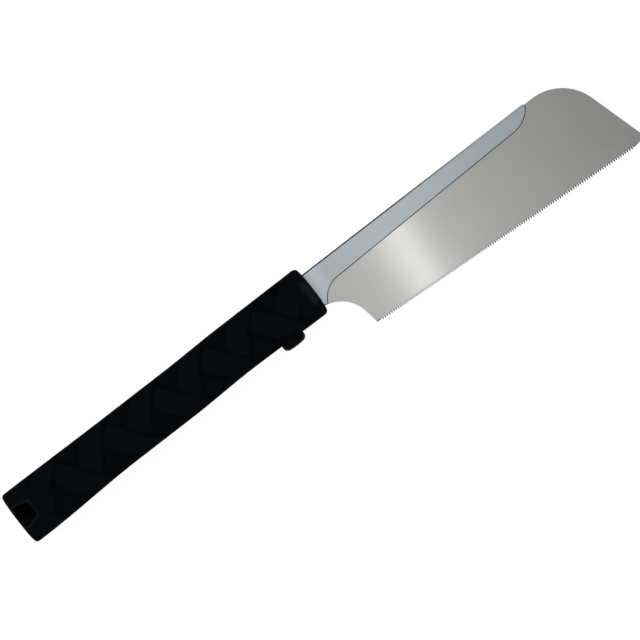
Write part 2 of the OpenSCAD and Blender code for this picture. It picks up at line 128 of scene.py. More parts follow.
class SkinNote(Enum):
    """What the grip's mesh notes at each of its points, for the rubber."""

    # share of painted shade in the wrap's hollows
    SUNK = "sunk"
    RUBBED = "rubbed"


class Facing(Enum):
    """Side of the grip that an opening lies in."""

    RIGHT = "right"
    LEFT = "left"
    MOUTH = "mouth"
    UNDER = "under"

    def point(self, plane: Vector, height: float) -> Vector:
        """Turns a place in the opening's plane into a point of the layout.

        Args:
            plane: Place in the plane: x and y at the sides, y and z at the mouth, x and z underneath.
            height: Height out of the grip.

        Returns:
            The point.
        """
        first, second = plane
        places = {
            Facing.RIGHT: (first, second, height),
            Facing.LEFT: (first, second, -height),
            Facing.MOUTH: (height, first, second),
            Facing.UNDER: (first, -height, second),
        }
        return Vector(places[self])


class Socket:
    """One output of a shader node, whose arithmetic adds Math nodes."""

    def __init__(self, graph: Graph, output: bpy.types.NodeSocket) -> None:
        """Keeps the graph and the node's output."""
        self.graph = graph
        self.output = output

    def out(self, which: str | int) -> Socket:
        """Returns another output of the same node."""
        return Socket(self.graph, self.output.node.outputs[which])

    def math(self, operation: str, *values: Socket | float) -> Socket:
        """Adds a Math node of the named operation with these values, and returns its value."""
        return self.graph.add("ShaderNodeMath", {"operation": operation}, dict(enumerate(values)))

    def __add__(self, other: Socket | float) -> Socket:
        """Adds a value."""
        return self.math("ADD", self, other)

    def __radd__(self, other: float) -> Socket:
        """Is added to a number."""
        return self.math("ADD", other, self)

    def __sub__(self, other: Socket | float) -> Socket:
        """Takes a value away."""
        return self.math("SUBTRACT", self, other)

    def __rsub__(self, other: float) -> Socket:
        """Is taken away from a number."""
        return self.math("SUBTRACT", other, self)

    def __mul__(self, other: Socket | float) -> Socket:
        """Multiplies by a value."""
        return self.math("MULTIPLY", self, other)

    def __rmul__(self, other: float) -> Socket:
        """Multiplies a number."""
        return self.math("MULTIPLY", other, self)

    def __abs__(self) -> Socket:
        """Drops the sign."""
        return self.math("ABSOLUTE", self)

    def smooth(self, low: float, high: float) -> Socket:
        """Rises smoothly from 0 to 1.

        Args:
            low: Value at which the result is 0.
            high: Value at which the result is 1, which may be below low.

        Returns:
            The eased share.
        """
        return self.graph.add(
            "ShaderNodeMapRange",
            {"interpolation_type": "SMOOTHSTEP"},
            {"Value": self, "From Min": low, "From Max": high},
        )


@dataclass(frozen=True)
class Grain:
    """Fineness of a noise: grains in a metre along x, y and z, and octaves of finer noise."""

    along: float
    across: float
    out: float
    detail: float = 2.0

    @classmethod
    def even(cls, count: float, detail: float = 2.0) -> Grain:
        """Returns a grain that is as fine along every axis."""
        return cls(count, count, count, detail)


class Graph:
    """Node tree of one material or of the world. A Mix node's colour sockets are told by their numbers."""

    MIX_COLOURS = (6, 7)
    MIX_RESULT = 2

    def __init__(self, tree: bpy.types.NodeTree) -> None:
        """Starts from an empty tree."""
        self.tree = tree
        tree.nodes.clear()

    def add(self, kind: str, settings: dict[str, Any], inputs: dict[str | int, Any]) -> Socket:
        """Adds any node.

        Args:
            kind: Blender's name of the node's type.
            settings: The node's own settings.
            inputs: Values or links of its sockets, by name or number.

        Returns:
            The node's first output, or its first socket where it has none.
        """
        node = self.tree.nodes.new(kind)
        for name, value in settings.items():
            setattr(node, name, value)
        for name, value in inputs.items():
            if isinstance(value, Socket):
                self.tree.links.new(value.output, node.inputs[name])
            else:
                node.inputs[name].default_value = value
        return Socket(self, (node.outputs or node.inputs)[0])

    def place(self) -> Socket:
        """Returns the place on the piece, in metres, which moves with the piece."""
        return self.add("ShaderNodeTexCoord", {}, {}).out("Object")

    def note(self, note: SkinNote) -> Socket:
        """Returns what the mesh notes at its points."""
        return self.add("ShaderNodeAttribute", {"attribute_name": note.value}, {}).out("Fac")

    def axes(self, vector: Socket) -> tuple[Socket, Socket, Socket]:
        """Splits a vector into its three parts."""
        parts = self.add("ShaderNodeSeparateXYZ", {}, {"Vector": vector})
        return parts.out("X"), parts.out("Y"), parts.out("Z")

    def noise(self, vector: Socket, grain: Grain) -> Socket:
        """Adds noise with its own fineness along each axis.

        Args:
            vector: Place on the piece.
            grain: The noise's fineness.

        Returns:
            The noise, from 0 to 1.
        """
        counts = (grain.along, grain.across, grain.out)
        scaled = self.add("ShaderNodeVectorMath", {"operation": "MULTIPLY"}, {0: vector, 1: counts})
        return self.add("ShaderNodeTexNoise", {}, {"Vector": scaled, "Scale": 1.0, "Detail": grain.detail})

    def mix(self, share: Socket | float, first: Any, second: Any) -> Socket:
        """Mixes two colours.

        Args:
            share: How much of the second colour shows.
            first: Colour or link.
            second: Colour or link.

        Returns:
            The mixed colour.
        """
        low, high = self.MIX_COLOURS
        inputs = {0: share, low: self.opaque(first), high: self.opaque(second)}
        return self.add("ShaderNodeMix", {"data_type": "RGBA"}, inputs).out(self.MIX_RESULT)

    @staticmethod
    def opaque(colour: Any) -> Any:
        """Gives a plain colour its alpha, and returns a link as it is."""
        return colour if isinstance(colour, Socket) else (*colour, 1.0)

    def bump(self, height: Socket, depth: float) -> Socket:
        """Returns the normal tilted by a height from 0 to 1, where 1 stands for a depth in metres."""
        return self.add("ShaderNodeBump", {}, {"Height": height, "Distance": depth, "Strength": 1.0})

    def surface(self, **inputs: Any) -> Socket:
        """Adds the surface shader that all pieces use, with underscores for spaces in its sockets."""
        named = {name.replace("_", " "): value for name, value in inputs.items()}
        return self.add("ShaderNodeBsdfPrincipled", {}, named)


@dataclass(frozen=True)
class Finish:
    """What every finish has: its name, its colour, and the tints of its dark and light patches."""

    name: str
    colour: Colour
    dark: float = 1.0
    light: float = 1.0

    def tinted(self, factor: float) -> Colour:
        """Returns the colour made lighter or darker."""
        return tuple(part * factor for part in self.colour)

    def mottled(self, graph: Graph, share: Socket) -> Socket:
        """Returns the colour in dark and light patches, by the share of the light ones."""
        return graph.mix(share, self.tinted(self.dark), self.tinted(self.light))

    def material(self) -> bpy.types.Material:
        """Makes the finish a material at its first use.

        Returns:
            The material.
        """
        found = bpy.data.materials.get(self.name)
        if found is None:
            found = bpy.data.materials.new(self.name)
            found.use_nodes = True
            graph = Graph(found.node_tree)
            graph.add("ShaderNodeOutputMaterial", {}, {"Surface": self.shade(graph)})
        return found

    def shade(self, graph: Graph) -> Socket:
        """Builds the finish's nodes and returns its shader."""
        raise NotImplementedError

    def dress(self, piece: bpy.types.Object) -> None:
        """Gives a piece this finish all over.

        Args:
            piece: The piece to dress.
        """
        if not piece.material_slots:
            piece.data.materials.append(None)
        for slot in piece.material_slots:
            slot.material = self.material()


@dataclass(frozen=True)
class GroundSteel(Finish):
    """Spring steel with fine grinding lines along the blade."""

    name: str = "ground_steel"
    colour: Colour = (0.58, 0.58, 0.57)
    dark: float = 0.93
    light: float = 1.05
    roughness: float = 0.245
    cloud: Grain = Grain(30.0, 45.0, 0.0)
    cloud_roughness: float = 0.05
    lines: Grain = Grain(45.0, 3200.0, 0.0, 3.0)
    line_share: float = 0.4
    line_roughness: float = 0.06
    line_depth: float = 0.000004
    scratches: Grain = Grain(140.0, 9000.0, 0.0, 1.0)
    scratch_from: float = 0.72
    scratch_to: float = 0.8
    scratch_share: float = 0.3
    scratch_tint: float = 1.2
    # teeth are darker as hardened steel, and darker still by painted shade of their gullets
    hardened_and_shaded_tooth_colour: Colour = (0.2, 0.2, 0.2)
    tooth_from: float = 1.1
    tooth_to: float = 0.55
    tooth_depth: float = 0.0
    heel: tuple[float, float] = (0.0, 0.0)
    tilt: float = 0.0

    def shade(self, graph: Graph) -> Socket:
        """Builds drawn-out grinding lines over a faint cloudiness, and teeth darkened as hardened steel and
        by painted shade of their gullets.

        Args:
            graph: Node tree of the material.

        Returns:
            The shader.
        """
        place = graph.place()
        x, y, _ = graph.axes(place)
        inset = (x - self.heel[0]) * math.sin(self.tilt) + (y - self.heel[1]) * math.cos(self.tilt)
        # painted shade: the tooth band is darkened past the hardened steel's own tone, for the shade in the
        # gullets
        teeth = inset.smooth(self.tooth_depth * self.tooth_from, self.tooth_depth * self.tooth_to)
        lines = graph.noise(place, self.lines)
        scratches = graph.noise(place, self.scratches).smooth(self.scratch_from, self.scratch_to)
        cloud = graph.noise(place, self.cloud)
        colour = self.mottled(graph, cloud * (1 - self.line_share) + lines * self.line_share)
        colour = graph.mix(scratches * self.scratch_share, colour, self.tinted(self.scratch_tint))
        return graph.surface(
            Base_Color=graph.mix(teeth, colour, self.hardened_and_shaded_tooth_colour),
            Metallic=1.0,
            Roughness=self.roughness + cloud * self.cloud_roughness + lines * self.line_roughness,
            Normal=graph.bump(lines, self.line_depth),
        )


@dataclass(frozen=True)
class PlatedSheet(Finish):
    """Satin plated sheet with painted shade and dark reflection on its sheared and folded edges, and
    painted light near the mouth.
    """

    name: str = "plated_sheet"
    colour: Colour = (0.512, 0.56, 0.589)
    dark: float = 0.94
    light: float = 1.05
    roughness: float = 0.55
    cloud: Grain = Grain(40.0, 90.0, 0.0)
    speckle: Grain = Grain(2600.0, 2600.0, 900.0)
    speckle_share: float = 0.4
    speckle_roughness: float = 0.08
    speckle_depth: float = 0.000003
    # painted shade and dark reflection on the rolled edges and at the seam
    edge_shade_colour: Colour = (0.035, 0.04, 0.045)
    edge_roughness: float = 0.12
    edge_fall: float = 0.00004
    # the painted shade along the fold fades towards the tip
    fold_shade_fade_from: float = 0.05
    fold_shade_fade_to: float = 0.15
    fold_shade_fade_share: float = 0.85
    # painted light near the mouth, against the grip's shade on the back
    mouth_light_from: float = 0.018
    mouth_light_to: float = 0.004
    mouth_light_tint: float = 1.5
    mid_z: float = 0.0
    half_t: float = 0.0
    fold_y: float = 0.0

    def shade(self, graph: Graph) -> Socket:
        """Builds a speckled plating with painted light near the mouth, and painted shade and dark
        reflection on its edges that fade along the fold towards the tip.

        Args:
            graph: Node tree of the material.

        Returns:
            The shader.
        """
        place = graph.place()
        x, y, z = graph.axes(place)
        # painted shade and dark reflection where the sheet turns round its edges
        turned = abs(z - self.mid_z).smooth(self.half_t, self.half_t - self.edge_fall)
        fold = y.smooth(self.fold_y - 2 * self.half_t, self.fold_y - self.half_t)
        # the painted shade along the fold fades out towards the tip
        fold_shade_fade = fold * x.smooth(self.fold_shade_fade_from, self.fold_shade_fade_to)
        edge = turned * (1.0 - fold_shade_fade * self.fold_shade_fade_share)
        speckle = graph.noise(place, self.speckle)
        cloud = graph.noise(place, self.cloud)
        flat = self.mottled(graph, speckle * self.speckle_share + cloud * (1 - self.speckle_share))
        # painted light: the plating is lightened near the mouth to cancel the grip's shade
        mouth_light = x.smooth(self.mouth_light_from, self.mouth_light_to)
        flat = graph.mix(mouth_light, flat, self.tinted(self.mouth_light_tint))
        return graph.surface(
            Base_Color=graph.mix(edge, flat, self.edge_shade_colour),
            Metallic=1.0,
            Roughness=self.roughness + speckle * self.speckle_roughness + edge * self.edge_roughness,
            Normal=graph.bump(speckle, self.speckle_depth),
        )


@dataclass(frozen=True)
class MouldedBlack(Finish):
    """Black rubber or plastic with a fine moulded grain."""

    dark: float = 0.7
    light: float = 1.3
    roughness: float = 0.6
    gloss: float = 0.2
    wear: Grain = Grain.even(70.0, 3.0)
    wear_roughness: float = 0.1
    grain: Grain = Grain.even(2200.0)
    grain_share: float = 0.3
    grain_roughness: float = 0.06
    grain_depth: float = 0.00001

    def shade(self, graph: Graph) -> Socket:
        """Builds a fine grain over soft, uneven wear.

        Args:
            graph: Node tree of the material.

        Returns:
            The shader.
        """
        place = graph.place()
        grain = graph.noise(place, self.grain)
        wear = graph.noise(place, self.wear)
        colour = self.mottled(graph, wear * (1 - self.grain_share) + grain * self.grain_share)
        return graph.surface(
            Base_Color=self.hollow_shaded(graph, colour),
            Roughness=self.roughness + wear * self.wear_roughness + grain * self.grain_roughness,
            Specular_IOR_Level=self.gloss,
            Normal=graph.bump(grain, self.grain_depth),
            **self.polish(graph),
        )

    def hollow_shaded(self, graph: Graph, colour: Socket) -> Socket:
        """Returns the colour with painted shade in its hollows, here none."""
        return colour

    def polish(self, graph: Graph) -> dict[str, Any]:
        """Returns the sockets of a polish, here none."""
        return {}


@dataclass(frozen=True)
class WrapRubber(MouldedBlack):
    """Moulded rubber with painted shade between the bands, and polished where hands rub its plain edges."""

    # painted shade in the wrap's hollows
    hollow_shade_tint: float = 0.66
    polish_share: float = 0.28
    polish_roughness: float = 0.35

    def hollow_shaded(self, graph: Graph, colour: Socket) -> Socket:
        """Paints shade into the wrap's hollows."""
        return graph.mix(graph.note(SkinNote.SUNK), colour, self.tinted(self.hollow_shade_tint))

    def polish(self, graph: Graph) -> dict[str, Any]:
        """Polishes the rubbed edges."""
        rubbed = graph.note(SkinNote.RUBBED) * self.polish_share
        return {"Coat_Weight": rubbed, "Coat_Roughness": self.polish_roughness}


@dataclass(frozen=True)
class SmallMetal(Finish):
    """Plain metal of the small inner pieces, with a mottled surface."""

    dark: float = 0.88
    light: float = 1.06
    roughness: float = 0.34
    mottle: Grain = Grain.even(600.0)
    mottle_roughness: float = 0.12
    marks: Grain = Grain(300.0, 6000.0, 300.0)
    mark_depth: float = 0.000004

    def shade(self, graph: Graph) -> Socket:
        """Builds a mottled metal with faint tool marks.

        Args:
            graph: Node tree of the material.

        Returns:
            The shader.
        """
        place = graph.place()
        mottle = graph.noise(place, self.mottle)
        marks = graph.noise(place, self.marks)
        return graph.surface(
            Base_Color=self.mottled(graph, mottle),
            Metallic=1.0,
            Roughness=self.roughness + mottle * self.mottle_roughness,
            Normal=graph.bump(marks, self.mark_depth),
        )


@dataclass(frozen=True)
class PaleFloor(Finish):
    """White floor that shows as the background, still takes a shadow, and has painted shade deep in holes
    under the saw.
    """

    name: str = "pale_floor"
    colour: Colour = (0.35, 0.35, 0.35)
    glow: float = 0.9
    shown: Colour = (0.2, 0.2, 0.2)
    # painted shade on the floor deep in holes under the saw
    hole_shade_colour: Colour = (0.02, 0.02, 0.02)
    hole_depth: float = 0.03
    open_from: float = 0.15
    open_to: float = 0.35

    def shade(self, graph: Graph) -> Socket:
        """Builds a matte floor, which glows for the camera and for metal, but shows a painted shade deep in
        a hole, where ambient occlusion finds little open space.

        Args:
            graph: Node tree of the material.

        Returns:
            The shader.
        """
        path = graph.add("ShaderNodeLightPath", {}, {})
        seen = path.out("Is Camera Ray") + path.out("Is Glossy Ray") + path.out("Is Transmission Ray")
        matte, faint, deep = (
            graph.add("ShaderNodeBsdfDiffuse", {}, {"Color": graph.opaque(colour)})
            for colour in (self.colour, self.shown, self.hole_shade_colour)
        )
        glow = graph.add("ShaderNodeEmission", {}, {"Strength": self.glow})
        lit = graph.add("ShaderNodeAddShader", {}, {0: faint, 1: glow})
        # painted shade: ambient occlusion swaps the glow for a dark colour deep in holes
        near = graph.add("ShaderNodeAmbientOcclusion", {}, {"Distance": self.hole_depth}).out("AO")
        open_floor = near.smooth(self.open_from, self.open_to)
        background = graph.add("ShaderNodeMixShader", {}, {0: open_floor, 1: deep, 2: lit})
        return graph.add("ShaderNodeMixShader", {}, {0: seen, 1: matte, 2: background})


RUBBER = WrapRubber("moulded_rubber", (0.0030, 0.0037, 0.0048), roughness=0.8, gloss=0.012)
KNOB_BLACK = MouldedBlack(
    "knob_black", (0.0010, 0.0014, 0.0018), roughness=0.3, gloss=0.03, grain=Grain.even(1500.0)
)
CORE_BLACK = MouldedBlack(
    "core_black", (0.0015, 0.0015, 0.0017), roughness=0.7, gloss=0.012, grain=Grain.even(1200.0)
)
ZINC = SmallMetal("zinc_plate", (0.60, 0.61, 0.62))
BRASS = SmallMetal("plain_brass", (0.76, 0.63, 0.34), roughness=0.28, mottle=Grain.even(350.0))


def ease(share: float) -> float:
    """Eases a share from 0 to 1."""
    share = min(1.0, max(0.0, share))
    return share * share * (3 - 2 * share)


def turn_point(radius: float, degrees: float) -> Vector:
    """Returns a point on a circle about the origin."""
    return Vector((math.cos(math.radians(degrees)), math.sin(math.radians(degrees)))) * radius


def arc(centre: Vector, radius: float, start: float, end: float, steps: int = 16) -> Outline:
    """Draws an arc.

    Args:
        centre: Its centre.
        radius: Its radius.
        start: Angle of its first point, in degrees.
        end: Angle of its last point.
        steps: Number of straight pieces.

    Returns:
        The arc's points.
    """
    return [centre + turn_point(radius, start + (end - start) * k / steps) for k in range(steps + 1)]


def corner_arc(before: Vector, corner: Vector, after: Vector, radius: float) -> Outline:
    """Rounds one corner.

    Args:
        before: Point before the corner.
        corner: The corner.
        after: Point after the corner.
        radius: Radius of the rounding.

    Returns:
        The arc that takes the corner's place.
    """
    back, ahead = (before - corner).normalized(), (after - corner).normalized()
    half = back.angle(ahead) / 2
    centre = corner + (back + ahead).normalized() * radius / math.sin(half)
    first = corner + back * radius / math.tan(half) - centre
    last = corner + ahead * radius / math.tan(half) - centre
    start = math.degrees(math.atan2(first.y, first.x))
    sweep = math.degrees(math.atan2(last.y, last.x)) - start
    sweep = (sweep + HALF_TURN) % FULL_TURN - HALF_TURN
    return arc(centre, radius, start, start + sweep)


def rounded(corners: Sequence[tuple[float, float, float]]) -> Outline:
    """Draws an outline whose corners have their own radius.

    Args:
        corners: The x, y and radius of each corner.

    Returns:
        The outline's points.
    """
    points = [Vector(corner[:2]) for corner in corners]
    outline: Outline = []
    for index, (*_, radius) in enumerate(corners):
        after = points[(index + 1) % len(points)]
        if radius:
            outline += corner_arc(points[index - 1], points[index], after, radius)
        else:
            outline.append(points[index])
    return outline


def rectangle(low: tuple[float, float], high: tuple[float, float], radius: float = 0.0) -> Outline:
    """Draws a rectangle.

    Args:
        low: Its lower left corner.
        high: Its upper right corner.
        radius: Radius of its corners.

    Returns:
        The rectangle's points.
    """
    corners = (low, (high[0], low[1]), high, (low[0], high[1]))
    return rounded([(*corner, radius) for corner in corners])


def outward(outline: Outline) -> Outline:
    """Gives the way out at each point of an anticlockwise outline.

    Args:
        outline: The closed outline.

    Returns:
        A vector for each point, longer at corners, so that moved sides stay parallel.
    """
    sharpest = 0.3
    moves: Outline = []
    for index, point in enumerate(outline):
        before = (point - outline[index - 1]).normalized()
        after = (outline[(index + 1) % len(outline)] - point).normalized()
        first, second = Vector((before.y, -before.x)), Vector((after.y, -after.x))
        moves.append((first + second) / max(sharpest, 1 + first.dot(second)))
    return moves


@dataclass(frozen=True)
class SawLayout:
    """Place of the saw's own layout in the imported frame."""

    origin: Vector
    screw_x: float

    @classmethod
    def read(cls, frame: dict[str, Any], grip_length: float) -> SawLayout:
        """Finds the layout in the frame.

        Args:
            frame: What the frame's load gave.
            grip_length: Length of the grip, in millimetres.

        Returns:
            The layout, whose axis is the grip's and whose height is the blade's.
        """
        screw = next(joint for joint in frame["joints"] if joint["name"] == "knob_turn")["pos_m"]
        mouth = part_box("grip_sleeve")[0].x + grip_length * MM
        return cls(Vector((mouth, screw[1], screw[2])), (screw[0] - mouth) / MM)

    def place(self, point: Vector) -> Vector:
        """Returns a point of the layout in the frame, in metres."""
        return self.origin + point * MM

    def unplace(self, point: Vector) -> Vector:
        """Returns a point of the frame in the layout, in millimetres."""
        return (point - self.origin) / MM


class MeshMaker:
    """Collects the points and faces of one piece, in the saw's layout."""

    MERGE = 0.0005

    def __init__(self, layout: SawLayout) -> None:
        """Starts without points and faces.

        Args:
            layout: Place of the layout in the frame.
        """
        self.layout = layout
        self.points: list[Vector] = []
        self.faces: list[list[int]] = []

    def loop(self, points: Iterable[Vector]) -> list[int]:
        """Adds a row of points.

        Args:
            points: The points, in the layout.

        Returns:
            Their numbers.
        """
        start = len(self.points)
        self.points.extend(points)
        return list(range(start, len(self.points)))

    def bridge(self, first: list[int], second: list[int]) -> None:
        """Joins two closed loops of as many points by a band of faces.

        Args:
            first: Numbers of the first loop's points.
            second: Numbers of the second loop's points.
        """
        for index in range(len(first)):
            after = (index + 1) % len(first)
            self.faces.append([first[index], first[after], second[after], second[index]])

    def loft(self, loops: Sequence[list[int]]) -> None:
        """Joins closed loops one after another and closes both ends.

        Args:
            loops: Numbers of each loop's points, from one end to the other.
        """
        for first, second in zip(loops, loops[1:]):
            self.bridge(first, second)
        self.faces.append(list(reversed(loops[0])))
        self.faces.append(list(loops[-1]))

    def fan(self, loop: list[int], tip: Vector) -> None:
        """Closes a loop with a fan of faces about a point.

        Args:
            loop: Numbers of the loop's points.
            tip: The point in its middle.
        """
        centre = self.loop([tip])[0]
        for index in range(len(loop)):
            self.faces.append([loop[index], loop[(index + 1) % len(loop)], centre])

    def piece(self, name: str) -> bpy.types.Object:
        """Makes the piece, with its place in its mesh.

        Args:
            name: The piece's name.

        Returns:
            The new object.
        """
        mesh = bpy.data.meshes.new(name)
        mesh.from_pydata([self.layout.place(point) for point in self.points], [], self.faces)
        shape = bmesh.new()
        shape.from_mesh(mesh)
        bmesh.ops.remove_doubles(shape, verts=shape.verts, dist=self.MERGE * MM)
        bmesh.ops.recalc_face_normals(shape, faces=shape.faces)
        shape.to_mesh(mesh)
        shape.free()
        made = bpy.data.objects.new(name, mesh)
        bpy.context.scene.collection.objects.link(made)
        return made


def cut_away(piece: bpy.types.Object, cutters: Sequence[bpy.types.Object]) -> None:
    """Takes closed shapes out of a piece and deletes them.

    Args:
        piece: The piece to cut.
        cutters: The closed shapes.
    """
    for cutter in cutters:
        step = piece.modifiers.new(cutter.name, "BOOLEAN")
        step.operation = "DIFFERENCE"
        step.solver = "MANIFOLD"
        step.object = cutter
    bpy.context.view_layer.update()
    whole = piece.evaluated_get(bpy.context.evaluated_depsgraph_get())
    plain = piece.data
    piece.data = bpy.data.meshes.new_from_object(whole)
    piece.data.name = piece.name
    piece.modifiers.clear()
    bpy.data.meshes.remove(plain)
    for cutter in cutters:
        bpy.data.meshes.remove(cutter.data)


@dataclass(frozen=True)
class Role:
    """What a piece is called, what it stands for and moves with, and how its edges show.

    An edge is sharp from the crease angle on, in degrees. With flats, level faces stay flat up to their
    rounded edges.
    """

    piece: str
    node: str
    body: Body
    slot: Slot
    crease: float
    flats: bool = False


@dataclass
class SawPart:
    """One sub-assembly of the saw. Each kind has a ROLE, a shape and a finish of its own."""

    layout: SawLayout

    def shape(self) -> bpy.types.Object:
        """Builds the piece's mesh and returns the piece."""
        raise NotImplementedError

    def finish(self) -> Finish:
        """Returns what the piece is dressed in."""
        raise NotImplementedError

    def shade_edges(self, piece: bpy.types.Object) -> None:
        """Shades a piece smoothly up to its sharp edges.

        Args:
            piece: The piece to shade.
        """
        level = 0.9999
        piece.data.shade_smooth()
        piece.data.set_sharp_from_angle(angle=math.radians(self.ROLE.crease))
        for face in piece.data.polygons:
            face.use_smooth = not self.ROLE.flats or abs(face.normal.z) < level

    def build(self) -> None:
        """Builds and dresses the piece, puts it on its body and reports it."""
        role, piece = self.ROLE, self.shape()
        self.shade_edges(piece)
        self.finish().dress(piece)
        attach(piece, role.body.value)
        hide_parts(role.node)
        LOG.info("%s rides on %s, %d faces", piece.name, role.body.value, len(piece.data.polygons))


@dataclass
class BladePlan:
    """Outline of the blade, shared with the back that holds it."""

    edge_len: float = 180.0
    edge_tilt: float = 3.5
    tooth_pitch: float = 1.5
    tooth_depth: float = 1.8
    tooth_face: float = 0.36
    tooth_top: float = 0.6
    tooth_top_drop: float = 0.12
    land_share: float = 0.4
    land_lead: float = 0.25
    heel_land: float = 3.0
    toe_land: float = 9.0
    toe_rise: float = 2.3
    toe_corner_r: float = 1.2
    thickness: float = 0.5
    heel_ahead: float = 16.85
    heel_drop: float = 36.85
    heel_lean: float = 9.0
    notch_r: float = 19.7
    neck_drop: float = 10.9
    toe_lean: float = 16.4
    toe_r: float = 27.6
    top: float = 9.35
    shoulder: float = -4.0
    tang_len: float = 42.0
    tang_up: float = 8.0
    tang_down: float = 3.5
    tang_bevel: float = 1.5

    @property
    def land_rise(self) -> float:
        """Height of the plain edge above the tooth points."""
        return self.tooth_depth * self.land_share

    @property
    def notch_x(self) -> float:
        """Place of the notch's corner along the blade."""
        rise = self.heel_drop - self.land_rise - self.neck_drop
        return self.heel_ahead - rise * math.tan(math.radians(self.heel_lean))

    @property
    def notch_centre(self) -> Vector:
        """Centre of the notch's arc."""
        half = math.radians((QUARTER_TURN + self.heel_lean) / 2)
        return Vector((self.notch_x - self.notch_r / math.tan(half), -self.neck_drop - self.notch_r))

    def edge_point(self, along: float, inset: float) -> Vector:
        """Finds a point by the tooth line.

        Args:
            along: Distance along the line, from the heel.
            inset: Distance in from the line.

        Returns:
            The point.
        """
        tilt = math.radians(self.edge_tilt)
        ahead, inward = Vector((math.cos(tilt), -math.sin(tilt))), Vector((math.sin(tilt), math.cos(tilt)))
        return Vector((self.heel_ahead, -self.heel_drop)) + ahead * along + inward * inset

    def tooth_count(self) -> int:
        """Returns the number of teeth."""
        return math.floor((self.edge_len - self.heel_land - self.toe_land) / self.tooth_pitch)

    def tang(self) -> list[tuple[float, float]]:
        """Draws the tang, from its upper shoulder round to its lower one.

        Returns:
            The x and y of each corner.
        """
        end, bevel = self.shoulder - self.tang_len, self.tang_bevel
        return [
            (self.shoulder, self.tang_up),
            (end + bevel, self.tang_up),
            (end, self.tang_up - bevel),
            (end, bevel - self.tang_down),
            (end + bevel, -self.tang_down),
            (self.shoulder, -self.tang_down),
        ]


@dataclass
class SawBlade(SawPart):
    """Toothed plate with ground tooth faces."""

    ROLE = Role("toothed_blade", "saw_blade", Body.BLADE, Slot.BLADE_STEEL, crease=30.0, flats=True)

    plan: BladePlan
    rim: float = 0.07
    tooth_bevel: float = 0.3

    def teeth(self) -> list[tuple[Vector, int]]:
        """Draws the teeth, from heel to toe.

        Returns:
            Their points, each with the number of its tooth, or 0 in a gullet.
        """
        plan = self.plan
        teeth = []
        for number in range(plan.tooth_count()):
            start = plan.heel_land + number * plan.tooth_pitch
            face, top = (start + share * plan.tooth_pitch for share in (plan.tooth_face, plan.tooth_top))
            teeth.append((plan.edge_point(start, plan.tooth_depth), 0))
            teeth.append((plan.edge_point(face, 0.0), number + 1))
            teeth.append((plan.edge_point(top, plan.tooth_top_drop * plan.tooth_depth), number + 1))
        return teeth

    def outline(self) -> tuple[Outline, list[int]]:
        """Draws the blade's outline.

        Returns:
            Its points, and for each the number of its tooth, or 0 where the edge is plain.
        """
        plan = self.plan
        end = plan.heel_land + plan.tooth_count() * plan.tooth_pitch
        lead = plan.tooth_pitch * plan.land_lead
        toe = plan.edge_point(plan.edge_len, plan.toe_rise)
        toe_top = toe.x - (plan.top - toe.y) * math.tan(math.radians(plan.toe_lean))
        heel_land = [plan.edge_point(along, plan.land_rise) for along in (0.0, plan.heel_land - lead)]
        plain = rounded(
            [
                *((*point, 0.0) for point in heel_land),
                (*plan.edge_point(end, plan.tooth_depth), 0.0),
                (*plan.edge_point(end + lead, plan.land_rise), 0.0),
                (*toe, plan.toe_corner_r),
                (toe_top, plan.top, plan.toe_r),
                (plan.shoulder, plan.top, 0.0),
                *((*corner, 0.0) for corner in plan.tang()),
                (plan.shoulder, -plan.neck_drop, 0.0),
                (plan.notch_x, -plan.neck_drop, plan.notch_r),
            ]
        )
        before = len(heel_land)
        marked = [(point, 0) for point in plain]
        marked[before:before] = self.teeth()
        return [point for point, _ in marked], [tooth for _, tooth in marked]

    def shape(self) -> bpy.types.Object:
        """Builds the blade from loops across its thickness.

        Returns:
            The blade.
        """
        outline, teeth = self.outline()
        ways = outward(outline)
        half = self.plan.thickness / 2
        flat = half - self.rim
        inward = self.plan.edge_point(0.0, 1.0) - self.plan.edge_point(0.0, 0.0)
        maker = MeshMaker(self.layout)
        loops = []
        for height, inset in ((-half, self.rim), (-flat, 0.0), (flat, 0.0), (half, self.rim)):
            points = []
            for point, way, tooth in zip(outline, ways, teeth):
                if tooth:
                    side = 1 if tooth % 2 else -1
                    moved = point + inward * self.tooth_bevel * (0.5 + side * height / half / 2)
                else:
                    moved = point - way * inset
                points.append(moved.to_3d() + Vector((0.0, 0.0, height)))
            loops.append(maker.loop(points))
        maker.loft(loops)
        return maker.piece(self.ROLE.piece)

    def finish(self) -> Finish:
        """Makes ground steel that knows where the teeth are.

        Returns:
            The finish.
        """
        heel = self.layout.place(self.plan.edge_point(0.0, 0.0).to_3d())
        return GroundSteel(
            heel=tuple(heel.xy),
            tilt=math.radians(self.plan.edge_tilt),
            tooth_depth=self.plan.tooth_depth * MM,
        )


